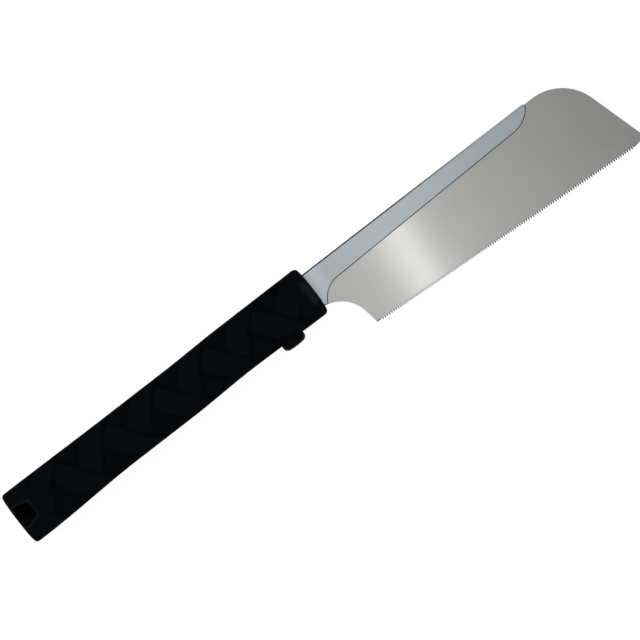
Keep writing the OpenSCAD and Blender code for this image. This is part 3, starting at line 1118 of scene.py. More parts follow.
@dataclass
class FoldedBack(SawPart):
    """Sheet folded over the blade's upper edge, with rolled edges."""

    ROLE = Role("folded_back", "blade_back", Body.BLADE, Slot.BACK_PLATE, crease=40.0, flats=True)

    plan: BladePlan
    top: float = 10.05
    depth: float = 13.25
    taper: float = 1.46
    length: float = 154.25
    sheet: float = 0.7
    flare_r: float = 15.0
    flare_ahead: float = 0.2
    nose_len: float = 14.2
    nose_r: float = 17.6
    nose_bevel: float = 0.7
    roll: float = 0.62
    roll_steps: int = 6
    slot_past: float = 5.0

    @property
    def half(self) -> float:
        """Half of the thickness over both cheeks."""
        return self.plan.thickness / 2 + self.sheet

    def low(self, x: float) -> float:
        """Returns the height of the lower edge."""
        return self.top - self.depth + x * math.tan(math.radians(self.taper))

    def flare(self) -> Outline:
        """Draws the sweep from the notch up to the lower edge.

        Returns:
            The sweep's points.
        """
        tilt = math.radians(self.taper)
        foot_x = self.flare_ahead + self.flare_r * (1 - math.sin(tilt))
        centre = Vector((self.flare_ahead + self.flare_r, self.low(foot_x) - self.flare_r * math.cos(tilt)))
        reach = self.plan.notch_centre - centre
        swing = (self.flare_r**2 + reach.length_squared - self.plan.notch_r**2) / (2 * reach.length)
        aim = math.degrees(math.atan2(reach.y, reach.x))
        start = aim - math.degrees(math.acos(swing / self.flare_r))
        return arc(centre, self.flare_r, start % FULL_TURN, QUARTER_TURN + self.taper)

    def nose(self) -> Outline:
        """Draws the front end, from the lower edge up to the fold.

        Returns:
            The front end's points.
        """
        start_x = self.length - self.nose_len
        centre = Vector((start_x, self.low(start_x) + self.nose_r / math.cos(math.radians(self.taper))))
        end = -math.degrees(math.acos(self.nose_len / self.nose_r))
        points = arc(centre, self.nose_r, self.taper - QUARTER_TURN, end)
        return points + [Vector((points[-1].x, self.top - self.nose_bevel))]

    def notch(self, end: Vector) -> Outline:
        """Draws the neck's lower edge, from the shoulder to the sweep's foot.

        Args:
            end: The sweep's foot.

        Returns:
            The edge's points, without the foot.
        """
        centre = self.plan.notch_centre
        last = math.degrees(math.atan2(end.y - centre.y, end.x - centre.x))
        first = Vector((self.plan.shoulder, -self.plan.neck_drop))
        return [first, *arc(centre, self.plan.notch_r, QUARTER_TURN, last)[:-1]]

    def blade_slot(self) -> bpy.types.Object:
        """Makes the closed shape of the blade's slot.

        Returns:
            The shape to cut away.
        """
        plan, half = self.plan, self.plan.thickness / 2
        low = (plan.shoulder - plan.tang_len - self.slot_past, -plan.notch_r - self.slot_past)
        outline = rectangle(low, (self.length + self.slot_past, plan.top))
        maker = MeshMaker(self.layout)
        maker.loft([maker.loop(Vector((*point, z)) for point in outline) for z in (-half, half)])
        return maker.piece("blade_slot")

    def shape(self) -> bpy.types.Object:
        """Builds the folded sheet and opens its slot for the blade.

        Returns:
            The back.
        """
        flare, nose = self.flare(), self.nose()
        fold = [Vector((nose[-1].x - self.nose_bevel, self.top)), Vector((self.plan.shoulder, self.top))]
        tang = [Vector(corner) for corner in self.plan.tang()]
        outline = flare + nose + fold + tang + self.notch(flare[0])
        ways = outward(outline)
        maker = MeshMaker(self.layout)
        loops = []
        for step in range(-self.roll_steps, self.roll_steps + 1):
            turn = math.radians(QUARTER_TURN * (1 - abs(step) / self.roll_steps))
            side = (step > 0) - (step < 0)
            points = []
            for point, way in zip(outline, ways):
                radius = self.half if point in fold else self.roll
                level = self.half - radius * (1 - math.cos(turn))
                moved = point - way * radius * (1 - math.sin(turn))
                points.append(moved.to_3d() + Vector((0.0, 0.0, side * level)))
            loops.append(maker.loop(points))
        maker.loft(loops)
        back = maker.piece(self.ROLE.piece)
        cut_away(back, [self.blade_slot()])
        return back

    def finish(self) -> Finish:
        """Returns plating that knows where the fold and the cheeks are."""
        fold_y = self.layout.place(Vector((0.0, self.top, 0.0))).y
        return PlatedSheet(mid_z=self.layout.origin.z, half_t=self.half * MM, fold_y=fold_y)


@dataclass
class CrossWrap:
    """Relief of two families of bands that wind opposite ways, over and under each other.

    A place on the wrap has one angle in each family. A band's middle is at every half turn.
    """

    FLAT_MARKS = (0.0, 0.3, 0.6, 0.85, 1.0)
    SHOULDER_MARKS = (0.3, 0.6, 0.85)
    GROOVE_MARKS = (0.0, 0.5, 1.0, 1.5, 2.2, 3.0)
    GROUND_MARKS = (0.4, 0.75)

    pitch: float = 68.6
    share: float = 0.46
    height: float = 0.4
    sway: float = 0.25
    crown: float = 0.3
    shoulder: float = 8.0
    groove: float = 6.5
    groove_depth: float = 1.1
    crossing: float = 3.0
    # share of painted shade on the ground between the bands
    bare: float = 0.6
    cross_angle: float = -38.0
    cross_back: float = 24.95

    @property
    def half(self) -> float:
        """Half of a band's width, as an angle in its family."""
        return QUARTER_TURN * self.share

    def marks(self) -> list[float]:
        """Spaces the mesh lines over one band, close together at its edges.

        Returns:
            The angles, over half a turn of the family.
        """
        flat, foot = self.half - self.shoulder, self.half + self.GROOVE_MARKS[-1] * self.groove
        rise = [flat * mark for mark in self.FLAT_MARKS]
        rise += [flat + self.shoulder * mark for mark in self.SHOULDER_MARKS]
        rise += [self.half + self.groove * mark for mark in self.GROOVE_MARKS]
        rise += [foot + (QUARTER_TURN - foot) * mark for mark in self.GROUND_MARKS]
        return rise + [QUARTER_TURN] + [HALF_TURN - mark for mark in reversed(rise[1:])]

    def relief(self, rising: float, falling: float) -> tuple[float, float, float]:
        """Works out the shares of the bands and grooves at a place.

        Args:
            rising: Angle in the rising family, in degrees.
            falling: Angle in the falling family.

        Returns:
            How much of a band's height stands, how bare the ground is, and how much of a groove there is.
        """
        rows = round(rising / HALF_TURN), round(falling / HALF_TURN)
        offs = abs(rising - rows[0] * HALF_TURN), abs(falling - rows[1] * HALF_TURN)
        waves = math.cos(math.radians(rising)), math.cos(math.radians(falling))
        signs = [-1 if row % 2 else 1 for row in rows]
        pads = [1 - ease((off - self.half + self.shoulder) / self.shoulder) for off in offs]
        crowns = [1 - self.crown * min(1.0, off / self.half) ** 2 for off in offs]
        levels = 1 - self.sway * (1 + waves[1] * signs[0]), 1 - self.sway * (1 - waves[0] * signs[1])
        top = max(pad * crown * level for pad, crown, level in zip(pads, crowns, levels))
        falling_over = ease(0.5 + self.crossing * waves[0] * waves[1])
        seen = 1 - pads[1] * falling_over, 1 - pads[0] * (1 - falling_over)
        trenches = [math.exp(-(((off - self.half) / self.groove - 1) ** 2)) for off in offs]
        trench = max(shown * depth for shown, depth in zip(seen, trenches))
        return top, 1 - max(pads), trench

    def depth(self, rising: float, falling: float) -> float:
        """Returns how far the skin lies below the bands' tops, in millimetres."""
        top, _, trench = self.relief(rising, falling)
        return self.height * (1 - top) + self.groove_depth * trench

    def sunk(self, rising: float, falling: float) -> float:
        """Returns the share of painted shade in the wrap's hollows, from 0 on a band to 1 in a groove."""
        _, ground, trench = self.relief(rising, falling)
        # painted shade: the ground between the bands gets part of it, a groove all of it
        return min(1.0, self.bare * ground + trench)


@dataclass
class Opening:
    """Opening through the rubber whose lip is rounded and follows the skin.

    The outline lies in the plane of its facing, and heights are measured out of the rubber.
    """

    name: str
    facing: Facing
    outline: Outline
    skin: Skin
    floor: float
    lip: float
    clear: float = 4.0
    lip_steps: int = 10

    def ring(self, grow: float, height: Skin) -> Iterable[Vector]:
        """Returns the loop that lies this far outside the outline, with a height at each of its points."""
        points = [point + way * grow for point, way in zip(self.outline, outward(self.outline))]
        return [self.facing.point(point, height(point)) for point in points]

    def cutter(self, layout: SawLayout) -> bpy.types.Object:
        """Makes the closed shape that cuts the opening.

        Args:
            layout: Place of the layout in the frame.

        Returns:
            The shape to cut away.
        """
        rings = [self.ring(self.lip, lambda point: self.skin(point) + self.clear)]
        for step in range(self.lip_steps + 1):
            turn = math.radians(QUARTER_TURN * step / self.lip_steps)
            sunk, grow = (self.lip * (1 - part) for part in (math.cos(turn), math.sin(turn)))
            rings.append(self.ring(grow, lambda point, sunk=sunk: self.skin(point) - sunk))
        rings.append(self.ring(0.0, lambda point: self.floor))
        maker = MeshMaker(layout)
        maker.loft([maker.loop(ring) for ring in rings])
        return maker.piece(self.name)


@dataclass
class WrappedGrip(SawPart):
    """Rubber sleeve with the wrap's relief, its mouth, its hanging window and the knob's recess."""

    ROLE = Role("wrapped_grip", "grip_sleeve", Body.HANDLE, Slot.GRIP_RUBBER, crease=50.0)

    wrap: CrossWrap = field(default_factory=CrossWrap)
    length: float = 207.25
    thickness: float = 26.0
    square: float = 2.5
    mouth_up: float = 15.35
    mouth_down: float = 15.25
    hollow_down: float = 14.4
    hollow_back: float = 55.0
    waist_up: float = 14.7
    waist_down: float = 15.4
    waist_back: float = 95.0
    waist_len: float = 40.0
    butt_up: float = 15.1
    butt_down: float = 17.4
    butt_len: float = 8.0
    mouth_r: float = 2.5
    butt_r: float = 1.5
    end_bow: float = 1.0
    end_edge_steps: int = 8
    end_face_steps: int = 7
    end_face_inset: float = 11.5
    mouth_collar: float = 9.0
    butt_collar: float = 15.0
    collar_fade: float = 3.0
    edge_fade: float = 35.0
    core_h: float = 24.1
    core_t: float = 20.6
    core_steps: int = 32
    mouth_wall: float = 4.0
    butt_wall: float = 2.4
    slot_up: float = 10.55
    slot_down: float = 11.4
    slot_t: float = 2.9
    slot_t_per_r: float = 3.0
    slot_past: float = 1.0
    slot_lip: float = 0.5
    window_len: float = 9.0
    window_rear: float = 13.0
    window_front: float = 8.6
    window_rear_r: float = 1.5
    window_front_r: float = 3.0
    window_bar: float = 2.5
    window_drop: float = 0.7
    window_lip: float = 1.2
    window_floor: float = 0.5
    rub_len: float = 7.0
    rub_half: float = 9.5
    rub_fade: float = 5.0
    rub_out: float = 9.0
    lip_rub: float = 0.35
    recess_d: float = 15.6
    recess_floor: float = 12.85
    recess_lip: float = 0.4
    recess_steps: int = 96
    hub_hole: float = 12.0
    hub_hole_lip: float = 0.2
    hub_hole_steps: int = 64

    def reach(self, back: float) -> tuple[float, float]:
        """Finds how far the grip reaches above and below its axis.

        Args:
            back: Distance behind the mouth.

        Returns:
            The reach up and the reach down.
        """
        waist_end = self.waist_back + self.waist_len
        hollow = ease(back / self.hollow_back)
        waist = ease((back - self.hollow_back) / (self.waist_back - self.hollow_back))
        butt = ease((back - waist_end) / (self.length - self.butt_len - waist_end))
        up = self.mouth_up
        up += (self.waist_up - up) * waist
        up += (self.butt_up - up) * butt
        down = self.mouth_down
        down += (self.hollow_down - down) * hollow
        down += (self.waist_down - down) * waist
        down += (self.butt_down - down) * butt
        return up, down

    def section(self, x: float) -> tuple[float, float]:
        """Returns the middle and half of the grip's height at a place along it."""
        up, down = self.reach(min(self.length, max(0.0, -x)))
        return (up - down) / 2, (up + down) / 2

    def skin_point(self, x: float, turn: float, inset: float) -> Vector:
        """Finds a point on the grip or below its skin.

        Args:
            x: Place along the grip.
            turn: Angle about the axis, from the side towards the back, in degrees.
            inset: Depth below the skin.

        Returns:
            The point.
        """
        middle, half = self.section(x)
        sine, cosine = math.sin(math.radians(turn)), math.cos(math.radians(turn))
        across = math.copysign(abs(sine) ** (2 / self.square), sine)
        out = math.copysign(abs(cosine) ** (2 / self.square), cosine)
        return Vector((x, middle + (half - inset) * across, (self.thickness / 2 - inset) * out))

    def squared(self, off: float) -> float:
        """Returns the share of the section's height that is left at a share of its width."""
        return (1 - min(1.0, off) ** self.square) ** (1 / self.square)

    def side_height(self, point: Vector) -> float:
        """Returns the skin's height over the blade's plane, at an x and y."""
        middle, half = self.section(point.x)
        return self.thickness / 2 * self.squared(abs(point.y - middle) / half)

    def under_height(self, point: Vector) -> float:
        """Returns the skin's drop below the grip's axis, at an x and z."""
        middle, half = self.section(point.x)
        return half * self.squared(abs(point.y) / (self.thickness / 2)) - middle

    def bow(self, inset: float) -> float:
        """Returns how far an end face stands out, by its depth below the skin."""
        return self.end_bow * (1 - (1 - min(1.0, inset / self.mouth_down)) ** 2)

    def face_height(self, point: Vector) -> float:
        """Finds the mouth's bowed face.

        Args:
            point: The y and z.

        Returns:
            Its place along the grip, which is 0 or less.
        """
        across = abs(point.x - (self.mouth_up - self.mouth_down) / 2) / self.mouth_down
        out = abs(point.y) / (self.thickness / 2)
        off = (across**self.square + out**self.square) ** (1 / self.square)
        return self.bow(self.mouth_down * (1 - min(1.0, off))) - self.end_bow

    def collar_share(self, back: float) -> float:
        """Returns how much of the wrap's relief stands, by the distance behind the mouth."""
        front = ease((back - self.mouth_collar) / self.collar_fade)
        return front * ease((self.length - self.butt_collar - back) / self.collar_fade)

    def edge_share(self, turn: float) -> float:
        """Returns how much of the relief stands, by the angle about the axis."""
        off = math.degrees(math.asin(abs(math.cos(math.radians(turn)))))
        return ease(off / self.edge_fade)

    def hollow_shade_share(self, point: Vector) -> float:
        """Works out the share of painted shade in the wrap's hollows at a point of the skin.

        Args:
            point: Point of the layout.

        Returns:
            The share, from 0 on a band to 1 in a groove.
        """
        middle, half = self.section(point.x)
        across, out = (point.y - middle) / half, point.z / (self.thickness / 2)
        powers = [math.copysign(abs(share) ** (self.square / 2), share) for share in (across, out)]
        turn = math.degrees(math.atan2(*powers))
        along = (point.x + self.wrap.cross_back) * FULL_TURN / self.wrap.pitch
        round_axis = turn - self.wrap.cross_angle
        share = self.collar_share(-point.x) * self.edge_share(turn)
        return share * self.wrap.sunk(round_axis - along, round_axis + along)

    def rubbed_share(self, point: Vector) -> float:
        """Works out how polished the rubber is at a point of the skin.

        Args:
            point: Point of the layout.

        Returns:
            The share, which is highest on the middle of the mouth's rim and lower on the window's lip.
        """
        rim = ease((point.x + self.rub_len) / self.rub_fade)
        rim *= 1 - ease((abs(point.y) - self.rub_half) / self.rub_fade + 1)
        rim *= ease((abs(point.z) - self.rub_out) / (self.thickness / 2 - self.rub_out))
        along = (point.x + self.length - self.window_bar) / self.window_len
        half = (self.window_rear + (self.window_front - self.window_rear) * along) / 2
        past_end = (abs(along - 0.5) - 0.5) * self.window_len
        outside = max(abs(point.y + self.window_drop) - half, past_end)
        lip = 1 - ease(abs(outside - self.window_lip / 2) / self.window_lip)
        return max(rim, self.lip_rub * lip)

    def note_skin(self, grip: bpy.types.Object) -> None:
        """Notes at each point of the mesh its share of painted shade in the wrap's hollows and how much
        hands rub it.

        Args:
            grip: The sleeve, with all its openings.
        """
        points = [self.layout.unplace(vertex.co) for vertex in grip.data.vertices]
        for note, share in ((SkinNote.SUNK, self.hollow_shade_share), (SkinNote.RUBBED, self.rubbed_share)):
            noted = grip.data.attributes.new(note.value, "FLOAT", "POINT")
            noted.data.foreach_set("value", [share(point) for point in points])

    def body(self) -> bpy.types.Object:
        """Builds the closed outside of the grip.

        The mesh lines run along both families of bands. In the plain collars they even out, so that
        their rings are straight and go on over the end faces.

        Returns:
            The solid grip.
        """
        wrap, marks = self.wrap, self.wrap.marks()
        count = len(marks)
        ring_size = 2 * count
        even = HALF_TURN / count
        run = wrap.pitch / FULL_TURN
        ring_step = even / 2 * run
        first = math.ceil((wrap.cross_back - self.length + self.end_bow + self.butt_r) / ring_step)
        last = math.floor((wrap.cross_back - self.end_bow - self.mouth_r) / ring_step)
        maker = MeshMaker(self.layout)
        rings = []
        for ring in range(first, last + 1):
            share = self.collar_share(wrap.cross_back - ring * ring_step)
            points = []
            for line in range(ring_size):
                angles = []
                for place in (line, line + ring):
                    turns, index = divmod(place, count)
                    angles.append(place * even + (marks[index] + turns * HALF_TURN - place * even) * share)
                rising, falling = angles
                x = (falling - rising) / 2 * run - wrap.cross_back
                turn = wrap.cross_angle + (rising + falling) / 2
                depth = share * self.edge_share(turn) * wrap.depth(rising, falling)
                points.append(self.skin_point(x, turn, depth))
            rings.append(maker.loop(points))
        self.weave(maker, rings)
        for end, ring in ((-1, first), (1, last)):
            turns = [wrap.cross_angle + (line + ring / 2) * even for line in range(ring_size)]
            self.close_end(maker, rings[-1] if end > 0 else rings[0], end, turns)
        return maker.piece(self.ROLE.piece)

    @staticmethod
    def weave(maker: MeshMaker, rings: list[list[int]]) -> None:
        """Joins the rings by the diamonds between the two families of lines.

        Args:
            maker: Where the faces go.
            rings: The rings, from the butt to the mouth.
        """
        size = len(rings[0])
        for number, ring in enumerate(rings):
            for line in range(size):
                after = (line + 1) % size
                face = [ring[line], ring[after]]
                if number:
                    face.insert(1, rings[number - 1][after])
                if number + 1 < len(rings):
                    face.append(rings[number + 1][line])
                maker.faces.append(face)

    def close_end(self, maker: MeshMaker, ring: list[int], end: int, turns: list[float]) -> None:
        """Rounds the grip over one end and closes its face.

        Args:
            maker: Where the faces go.
            ring: The grip's last ring at that end.
            end: 1 at the mouth and -1 at the butt.
            turns: Angles of the ring's points.
        """
        radius, base = (self.mouth_r, 0.0) if end > 0 else (self.butt_r, -self.length)
        insets = []
        for step in range(self.end_edge_steps + 1):
            turn = math.radians(QUARTER_TURN * step / self.end_edge_steps)
            insets.append((radius * (1 - math.cos(turn)), radius * math.sin(turn)))
        for step in range(1, self.end_face_steps + 1):
            inset = radius + (self.end_face_inset - radius) * step / self.end_face_steps
            insets.append((inset, radius))
        for inset, ahead in insets:
            x = base + end * (ahead - radius - self.end_bow + self.bow(inset))
            loop = maker.loop(self.skin_point(x, turn, inset) for turn in turns)
            maker.bridge(ring, loop)
            ring = loop
        middle, _ = self.section(base)
        maker.fan(ring, Vector((base, middle, 0.0)))

    def openings(self) -> list[Opening]:
        """Lays out the window on both sides, the mouth, and the knob's recess with its hole.

        Returns:
            The openings, in the order in which they are cut.
        """
        rear, drop = self.window_bar - self.length, self.window_drop
        ends = [
            (rear, self.window_rear / 2, self.window_rear_r),
            (rear + self.window_len, self.window_front / 2, self.window_front_r),
        ]
        lower = [(x, -half - drop, radius) for x, half, radius in ends]
        upper = [(x, half - drop, radius) for x, half, radius in reversed(ends)]
        window = rounded(lower + upper)
        half_slot, slot_r = self.slot_t / 2, self.slot_t / self.slot_t_per_r
        slot = rectangle((-self.slot_down, -half_slot), (self.slot_up, half_slot), slot_r)
        slot_floor = -self.mouth_wall - self.slot_past
        screw = Vector((self.layout.screw_x, 0.0))
        recess = arc(screw, self.recess_d / 2, 0.0, FULL_TURN, self.recess_steps)[:-1]
        hole = arc(screw, self.hub_hole / 2, 0.0, FULL_TURN, self.hub_hole_steps)[:-1]
        hole_floor = self.core_h / 2 - self.core_t / 2
        side, under, lip = self.side_height, self.under_height, self.window_lip

        def hole_skin(_: Vector) -> float:
            """Returns the height of the recess's floor, which the hole starts from."""
            return self.recess_floor

        return [
            Opening("window_right", Facing.RIGHT, window, side, self.window_floor, lip),
            Opening("window_left", Facing.LEFT, window, side, self.window_floor, lip),
            Opening("mouth", Facing.MOUTH, slot, self.face_height, slot_floor, self.slot_lip),
            Opening("recess", Facing.UNDER, recess, under, self.recess_floor, self.recess_lip),
            Opening("hub_hole", Facing.UNDER, hole, hole_skin, hole_floor, self.hub_hole_lip),
        ]

    def core_space(self) -> bpy.types.Object:
        """Makes the closed shape of the core inside the sleeve.

        Returns:
            The shape to cut away.
        """
        radius = self.core_t / 2
        flat = self.core_h / 2 - radius
        section = []
        for middle, start in ((flat, -QUARTER_TURN), (-flat, QUARTER_TURN)):
            section += arc(Vector((middle, 0.0)), radius, start, start + HALF_TURN, self.core_steps)
        ends = (self.butt_wall - self.length, -self.mouth_wall)
        maker = MeshMaker(self.layout)
        maker.loft([maker.loop(Vector((x, *point)) for point in section) for x in ends])
        return maker.piece("core_space")

    def shape(self) -> bpy.types.Object:
        """Builds the sleeve, cuts its openings and notes what its skin is like.

        Returns:
            The sleeve.
        """
        grip = self.body()
        cut_away(grip, [self.core_space(), *(opening.cutter(self.layout) for opening in self.openings())])
        self.note_skin(grip)
        return grip

    def finish(self) -> Finish:
        """Returns the wrap's rubber."""
        return RUBBER


@dataclass
class TurnedPart(SawPart):
    """Part that is turned about the clamping screw's axis."""

    def radius_at(self, radius: float, drop: float, turn: float) -> float:
        """Returns the true radius at a place of the plain turned shape, by its radius, drop and turn."""
        raise NotImplementedError

    def revolve(self, profile: Sequence[tuple[float, float]], columns: int) -> bpy.types.Object:
        """Turns a profile about the screw and closes both ends on its axis.

        Args:
            profile: The radius and drop of each point, from one end on the axis to the other.
            columns: Number of columns around.

        Returns:
            The turned piece.
        """
        axis = Vector((self.layout.screw_x, 0.0, 0.0))
        turns = [FULL_TURN * column / columns for column in range(columns)]
        maker = MeshMaker(self.layout)
        loops = []
        for radius, drop in profile[1:-1]:
            flats = [turn_point(self.radius_at(radius, drop, turn), turn) for turn in turns]
            loops.append(maker.loop(axis + Vector((flat.x, -drop, flat.y)) for flat in flats))
        for first, second in zip(loops, loops[1:]):
            maker.bridge(first, second)
        for loop, (_, drop) in ((loops[0], profile[0]), (loops[-1], profile[-1])):
            maker.fan(loop, axis + Vector((0.0, -drop, 0.0)))
        return maker.piece(self.ROLE.piece)


@dataclass
class ClampKnob(TurnedPart):
    """Round fluted knob on the grip's lower side."""

    ROLE = Role("fluted_knob", "clamp_knob", Body.KNOB, Slot.KNOB_PLASTIC, crease=40.0)

    diameter: float = 14.6
    height: float = 6.3
    inner: float = 13.05
    hub_d: float = 11.0
    hub_h: float = 0.8
    hub_bevel: float = 0.3
    outer_round: float = 3.2
    outer_steps: int = 14
    inner_round: float = 0.8
    inner_steps: int = 6
    flutes: int = 16
    flute_d: float = 2.0
    flute_depth: float = 0.45
    flute_soft: float = 0.12
    flute_columns: int = 14
    bore_d: float = 5.1
    bore_depth: float = 4.05
    dome: float = 0.25
    dome_steps: int = 4

    def profile(self) -> list[tuple[float, float]]:
        """Draws the knob's half section.

        Returns:
            The radius and drop of each point, from the bore's end round to the middle of the outer face.
        """
        radius, bore, hub = self.diameter / 2, self.bore_d / 2, self.hub_d / 2
        bevel, rim = self.hub_bevel, self.height - self.dome
        flat = radius - self.outer_round
        hub_section = [
            (0.0, self.bore_depth),
            (bore, self.bore_depth),
            (bore, bevel - self.hub_h),
            (bore + bevel, -self.hub_h),
            (hub - bevel, -self.hub_h),
            (hub, bevel - self.hub_h),
            (hub, 0.0),
        ]
        points = [Vector(point) for point in hub_section]
        centre = Vector((radius - self.inner_round, self.inner_round))
        points += arc(centre, self.inner_round, -QUARTER_TURN, 0.0, self.inner_steps)
        centre = Vector((flat, rim - self.outer_round))
        points += arc(centre, self.outer_round, 0.0, QUARTER_TURN, self.outer_steps)
        for step in reversed(range(self.dome_steps)):
            share = step / self.dome_steps
            points.append(Vector((flat * share, rim + self.dome * (1 - share**2))))
        return [(point.x, self.inner + point.y) for point in points]

    def radius_at(self, radius: float, drop: float, turn: float) -> float:
        """Cuts the flutes into the rim, blended softly.

        Args:
            radius: Radius of the plain knob.
            drop: Drop below the grip's axis.
            turn: Angle about the screw, in degrees.

        Returns:
            The radius with the flutes.
        """
        step = FULL_TURN / self.flutes
        off = math.radians((turn + step / 2) % step - step / 2)
        out = self.diameter / 2 + self.flute_d / 2 - self.flute_depth
        room = (self.flute_d / 2) ** 2 - (out * math.sin(off)) ** 2
        if room <= 0 or radius <= self.hub_d / 2:
            return radius
        cut = out * math.cos(off) - math.sqrt(room)
        blend = max(0.0, self.flute_soft - abs(radius - cut)) / self.flute_soft
        return min(radius, cut) - blend**2 * self.flute_soft / 4

    def shape(self) -> bpy.types.Object:
        """Turns the knob."""
        return self.revolve(self.profile(), self.flutes * self.flute_columns)

    def finish(self) -> Finish:
        """Returns the knob's plastic."""
        return KNOB_BLACK


@dataclass
class ThreadedStud(TurnedPart):
    """Clamping screw with its thread and the spigot that turns in the shoe."""

    ROLE = Role("threaded_stud", "clamp_stud", Body.KNOB, Slot.ZINC_STEEL, crease=35.0)

    diameter: float = 5.0
    pitch: float = 0.8
    thread_depth: float = 0.4
    groove_share: float = 0.42
    spigot_d: float = 3.2
    spigot_start: float = 4.33
    spigot_bevel: float = 0.3
    start: float = 5.78
    end: float = 17.05
    rows_a_turn: int = 8
    columns: int = 48

    def profile(self) -> list[tuple[float, float]]:
        """Draws the screw's half section.

        Returns:
            The radius and drop of each point, from the spigot's end to the end in the knob.
        """
        spigot, radius, bevel = self.spigot_d / 2, self.diameter / 2, self.spigot_bevel
        length = self.end - self.start
        rows = round(length / self.pitch * self.rows_a_turn)
        points = [(0.0, self.spigot_start), (spigot - bevel, self.spigot_start)]
        points += [(spigot, self.spigot_start + bevel), (spigot, self.start)]
        points += [(radius, self.start + length * row / rows) for row in range(rows + 1)]
        return points + [(0.0, self.end)]

    def radius_at(self, radius: float, drop: float, turn: float) -> float:
        """Cuts the thread.

        Args:
            radius: Radius of the plain screw.
            drop: Drop below the grip's axis.
            turn: Angle about the screw, in degrees.

        Returns:
            The radius in the thread.
        """
        if radius < self.diameter / 2:
            return radius
        phase = (drop / self.pitch + turn / FULL_TURN) % 1
        groove = max(0.0, 1 - abs(phase - 0.5) / self.groove_share)
        ends = min(1.0, (drop - self.start) / self.pitch, (self.end - drop) / self.pitch)
        return radius - self.thread_depth * groove * max(0.0, ends)

    def shape(self) -> bpy.types.Object:
        """Turns the screw."""
        return self.revolve(self.profile(), self.columns)

    def finish(self) -> Finish:
        """Returns the screw's zinc."""
        return ZINC


@dataclass
class InnerPieces:
    """Pieces inside the grip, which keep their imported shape."""

    finishes: dict[str, Finish] = field(
        default_factory=lambda: {
            "core_right": CORE_BLACK,
            "core_left": CORE_BLACK,
            "tang_socket": ZINC,
            "socket_pin": ZINC,
            "clamp_nut": ZINC,
            "clamp_shoe": BRASS,
        }
    )

    def dress(self, nodes: dict[str, bpy.types.Object]) -> None:
        """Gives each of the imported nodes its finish.

        Args:
            nodes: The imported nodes, by name.
        """
        for name, finish in self.finishes.items():
            finish.dress(nodes[name])
            LOG.info("%s keeps its shape and gets %s", name, finish.name)


@dataclass
class Lamp:
    """Area lamp that points at a place on the saw."""

    name: str
    place: tuple[float, float, float]
    size: tuple[float, float]
    watts: float
    aim: tuple[float, float, float] = (0.0, 0.0, 0.0)
    spin: float = 0.0

    def hang(self) -> None:
        """Hangs the lamp."""
        light = bpy.data.lights.new(self.name, "AREA")
        light.shape = "RECTANGLE"
        light.size, light.size_y = self.size
        light.energy = self.watts
        made = bpy.data.objects.new(self.name, light)
        made.location = self.place
        way = Vector(self.aim) - Vector(self.place)
        made.rotation_euler = way.to_track_quat("-Z", "Y").to_euler()
        made.rotation_euler.rotate_axis("Z", math.radians(self.spin))
        made.visible_camera = False
        bpy.context.scene.collection.objects.link(made)


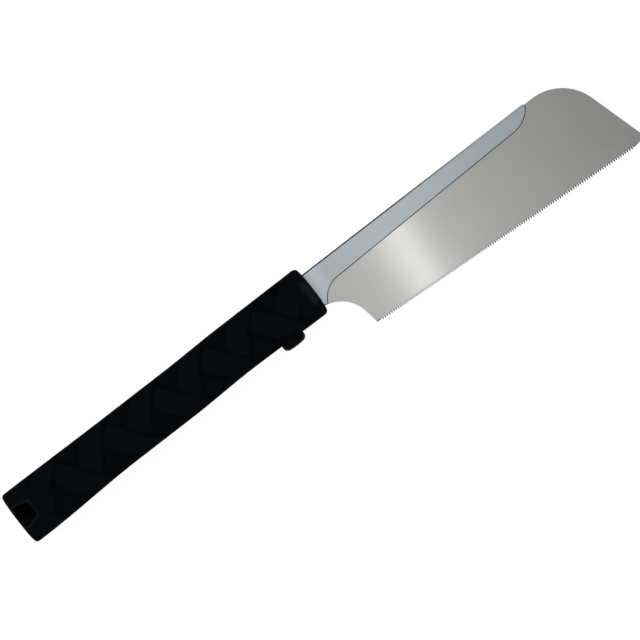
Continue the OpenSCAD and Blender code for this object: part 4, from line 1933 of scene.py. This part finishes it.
@dataclass
class Studio:
    """Pale floor, soft light and the camera over the saw."""

    view_turn: float = 37.75
    view_width: float = 0.3536
    view_centre: tuple[float, float] = (-0.00215, 0.00016)
    lens: float = 200.0
    sensor: float = 36.0
    clip_start: float = 0.01
    floor_r: float = 15.0
    floor_sides: int = 96
    overhead: float = 0.32
    overhead_from: float = 0.3
    overhead_to: float = 0.7
    horizon: float = 0.45
    lamps: tuple[Lamp, ...] = (
        Lamp("strip", (0.0621, -0.003, 0.113), (0.006, 0.4), 0.028, aim=(0.0621, -0.003, 0.0), spin=-3.5),
        Lamp("panel", (-0.2, 0.0, 0.613), (0.8, 1.2), 1.36, aim=(-0.2, 0.0, 0.0)),
        Lamp("soft_left", (-0.9, 0.7, 1.0), (1.5, 1.5), 8.0),
        Lamp("soft_right", (0.5, -1.1, 0.9), (1.5, 1.5), 5.0),
    )

    def floor(self) -> None:
        """Lays the floor."""
        shape = bmesh.new()
        bmesh.ops.create_circle(shape, cap_ends=True, segments=self.floor_sides, radius=self.floor_r)
        mesh = bpy.data.meshes.new("floor")
        shape.to_mesh(mesh)
        shape.free()
        made = bpy.data.objects.new("floor", mesh)
        bpy.context.scene.collection.objects.link(made)
        PaleFloor().dress(made)
        made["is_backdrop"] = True

    def sky(self) -> None:
        """Lights the studio: lighter around and dimmer overhead."""
        world = bpy.data.worlds.new("studio")
        bpy.context.scene.world = world
        world.use_nodes = True
        graph = Graph(world.node_tree)
        *_, up = graph.axes(graph.add("ShaderNodeTexCoord", {}, {}).out("Generated"))
        rise = up.smooth(self.overhead_from, self.overhead_to)
        level = self.horizon + rise * (self.overhead - self.horizon)
        light = graph.add("ShaderNodeBackground", {}, {"Strength": level})
        graph.add("ShaderNodeOutputWorld", {}, {"Surface": light})

    def camera(self, height: float) -> None:
        """Sets the camera square over the blade.

        Args:
            height: Height of the blade over the floor.
        """
        data = bpy.data.cameras.new("camera")
        data.lens = self.lens
        data.sensor_width = self.sensor
        data.clip_start = self.clip_start
        made = bpy.data.objects.new("camera", data)
        made.location = (*self.view_centre, height + self.view_width * self.lens / self.sensor)
        made.rotation_euler = (0.0, 0.0, -math.radians(self.view_turn))
        bpy.context.scene.collection.objects.link(made)
        bpy.context.scene.camera = made

    def build(self, layout: SawLayout) -> None:
        """Sets up the whole studio.

        Args:
            layout: Place of the layout in the frame.
        """
        bpy.context.scene.view_settings.view_transform = "Standard"
        self.floor()
        self.sky()
        self.camera(layout.origin.z)
        for lamp in self.lamps:
            lamp.hang()
        LOG.info("studio has %d lamps", len(self.lamps))


def corners(box: tuple[Vector, Vector]) -> list[list[float]]:
    """Returns a box's two corners as plain lists."""
    return [list(corner) for corner in box]


def main() -> None:
    """Builds the saw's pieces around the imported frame."""
    logging.basicConfig(level=logging.INFO, format="%(name)s: %(message)s")
    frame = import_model()
    packed = corners(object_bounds())
    layout = SawLayout.read(frame, WrappedGrip.length)
    plan = BladePlan()
    Studio().build(layout)
    blade, back = SawBlade(layout, plan), FoldedBack(layout, plan)
    for part in (blade, back, WrappedGrip(layout), ClampKnob(layout), ThreadedStud(layout)):
        part.build()
    InnerPieces().dress(frame["nodes"])
    {"cad": packed, "visual": corners(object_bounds())}


if __name__ == "__main__":
    main()
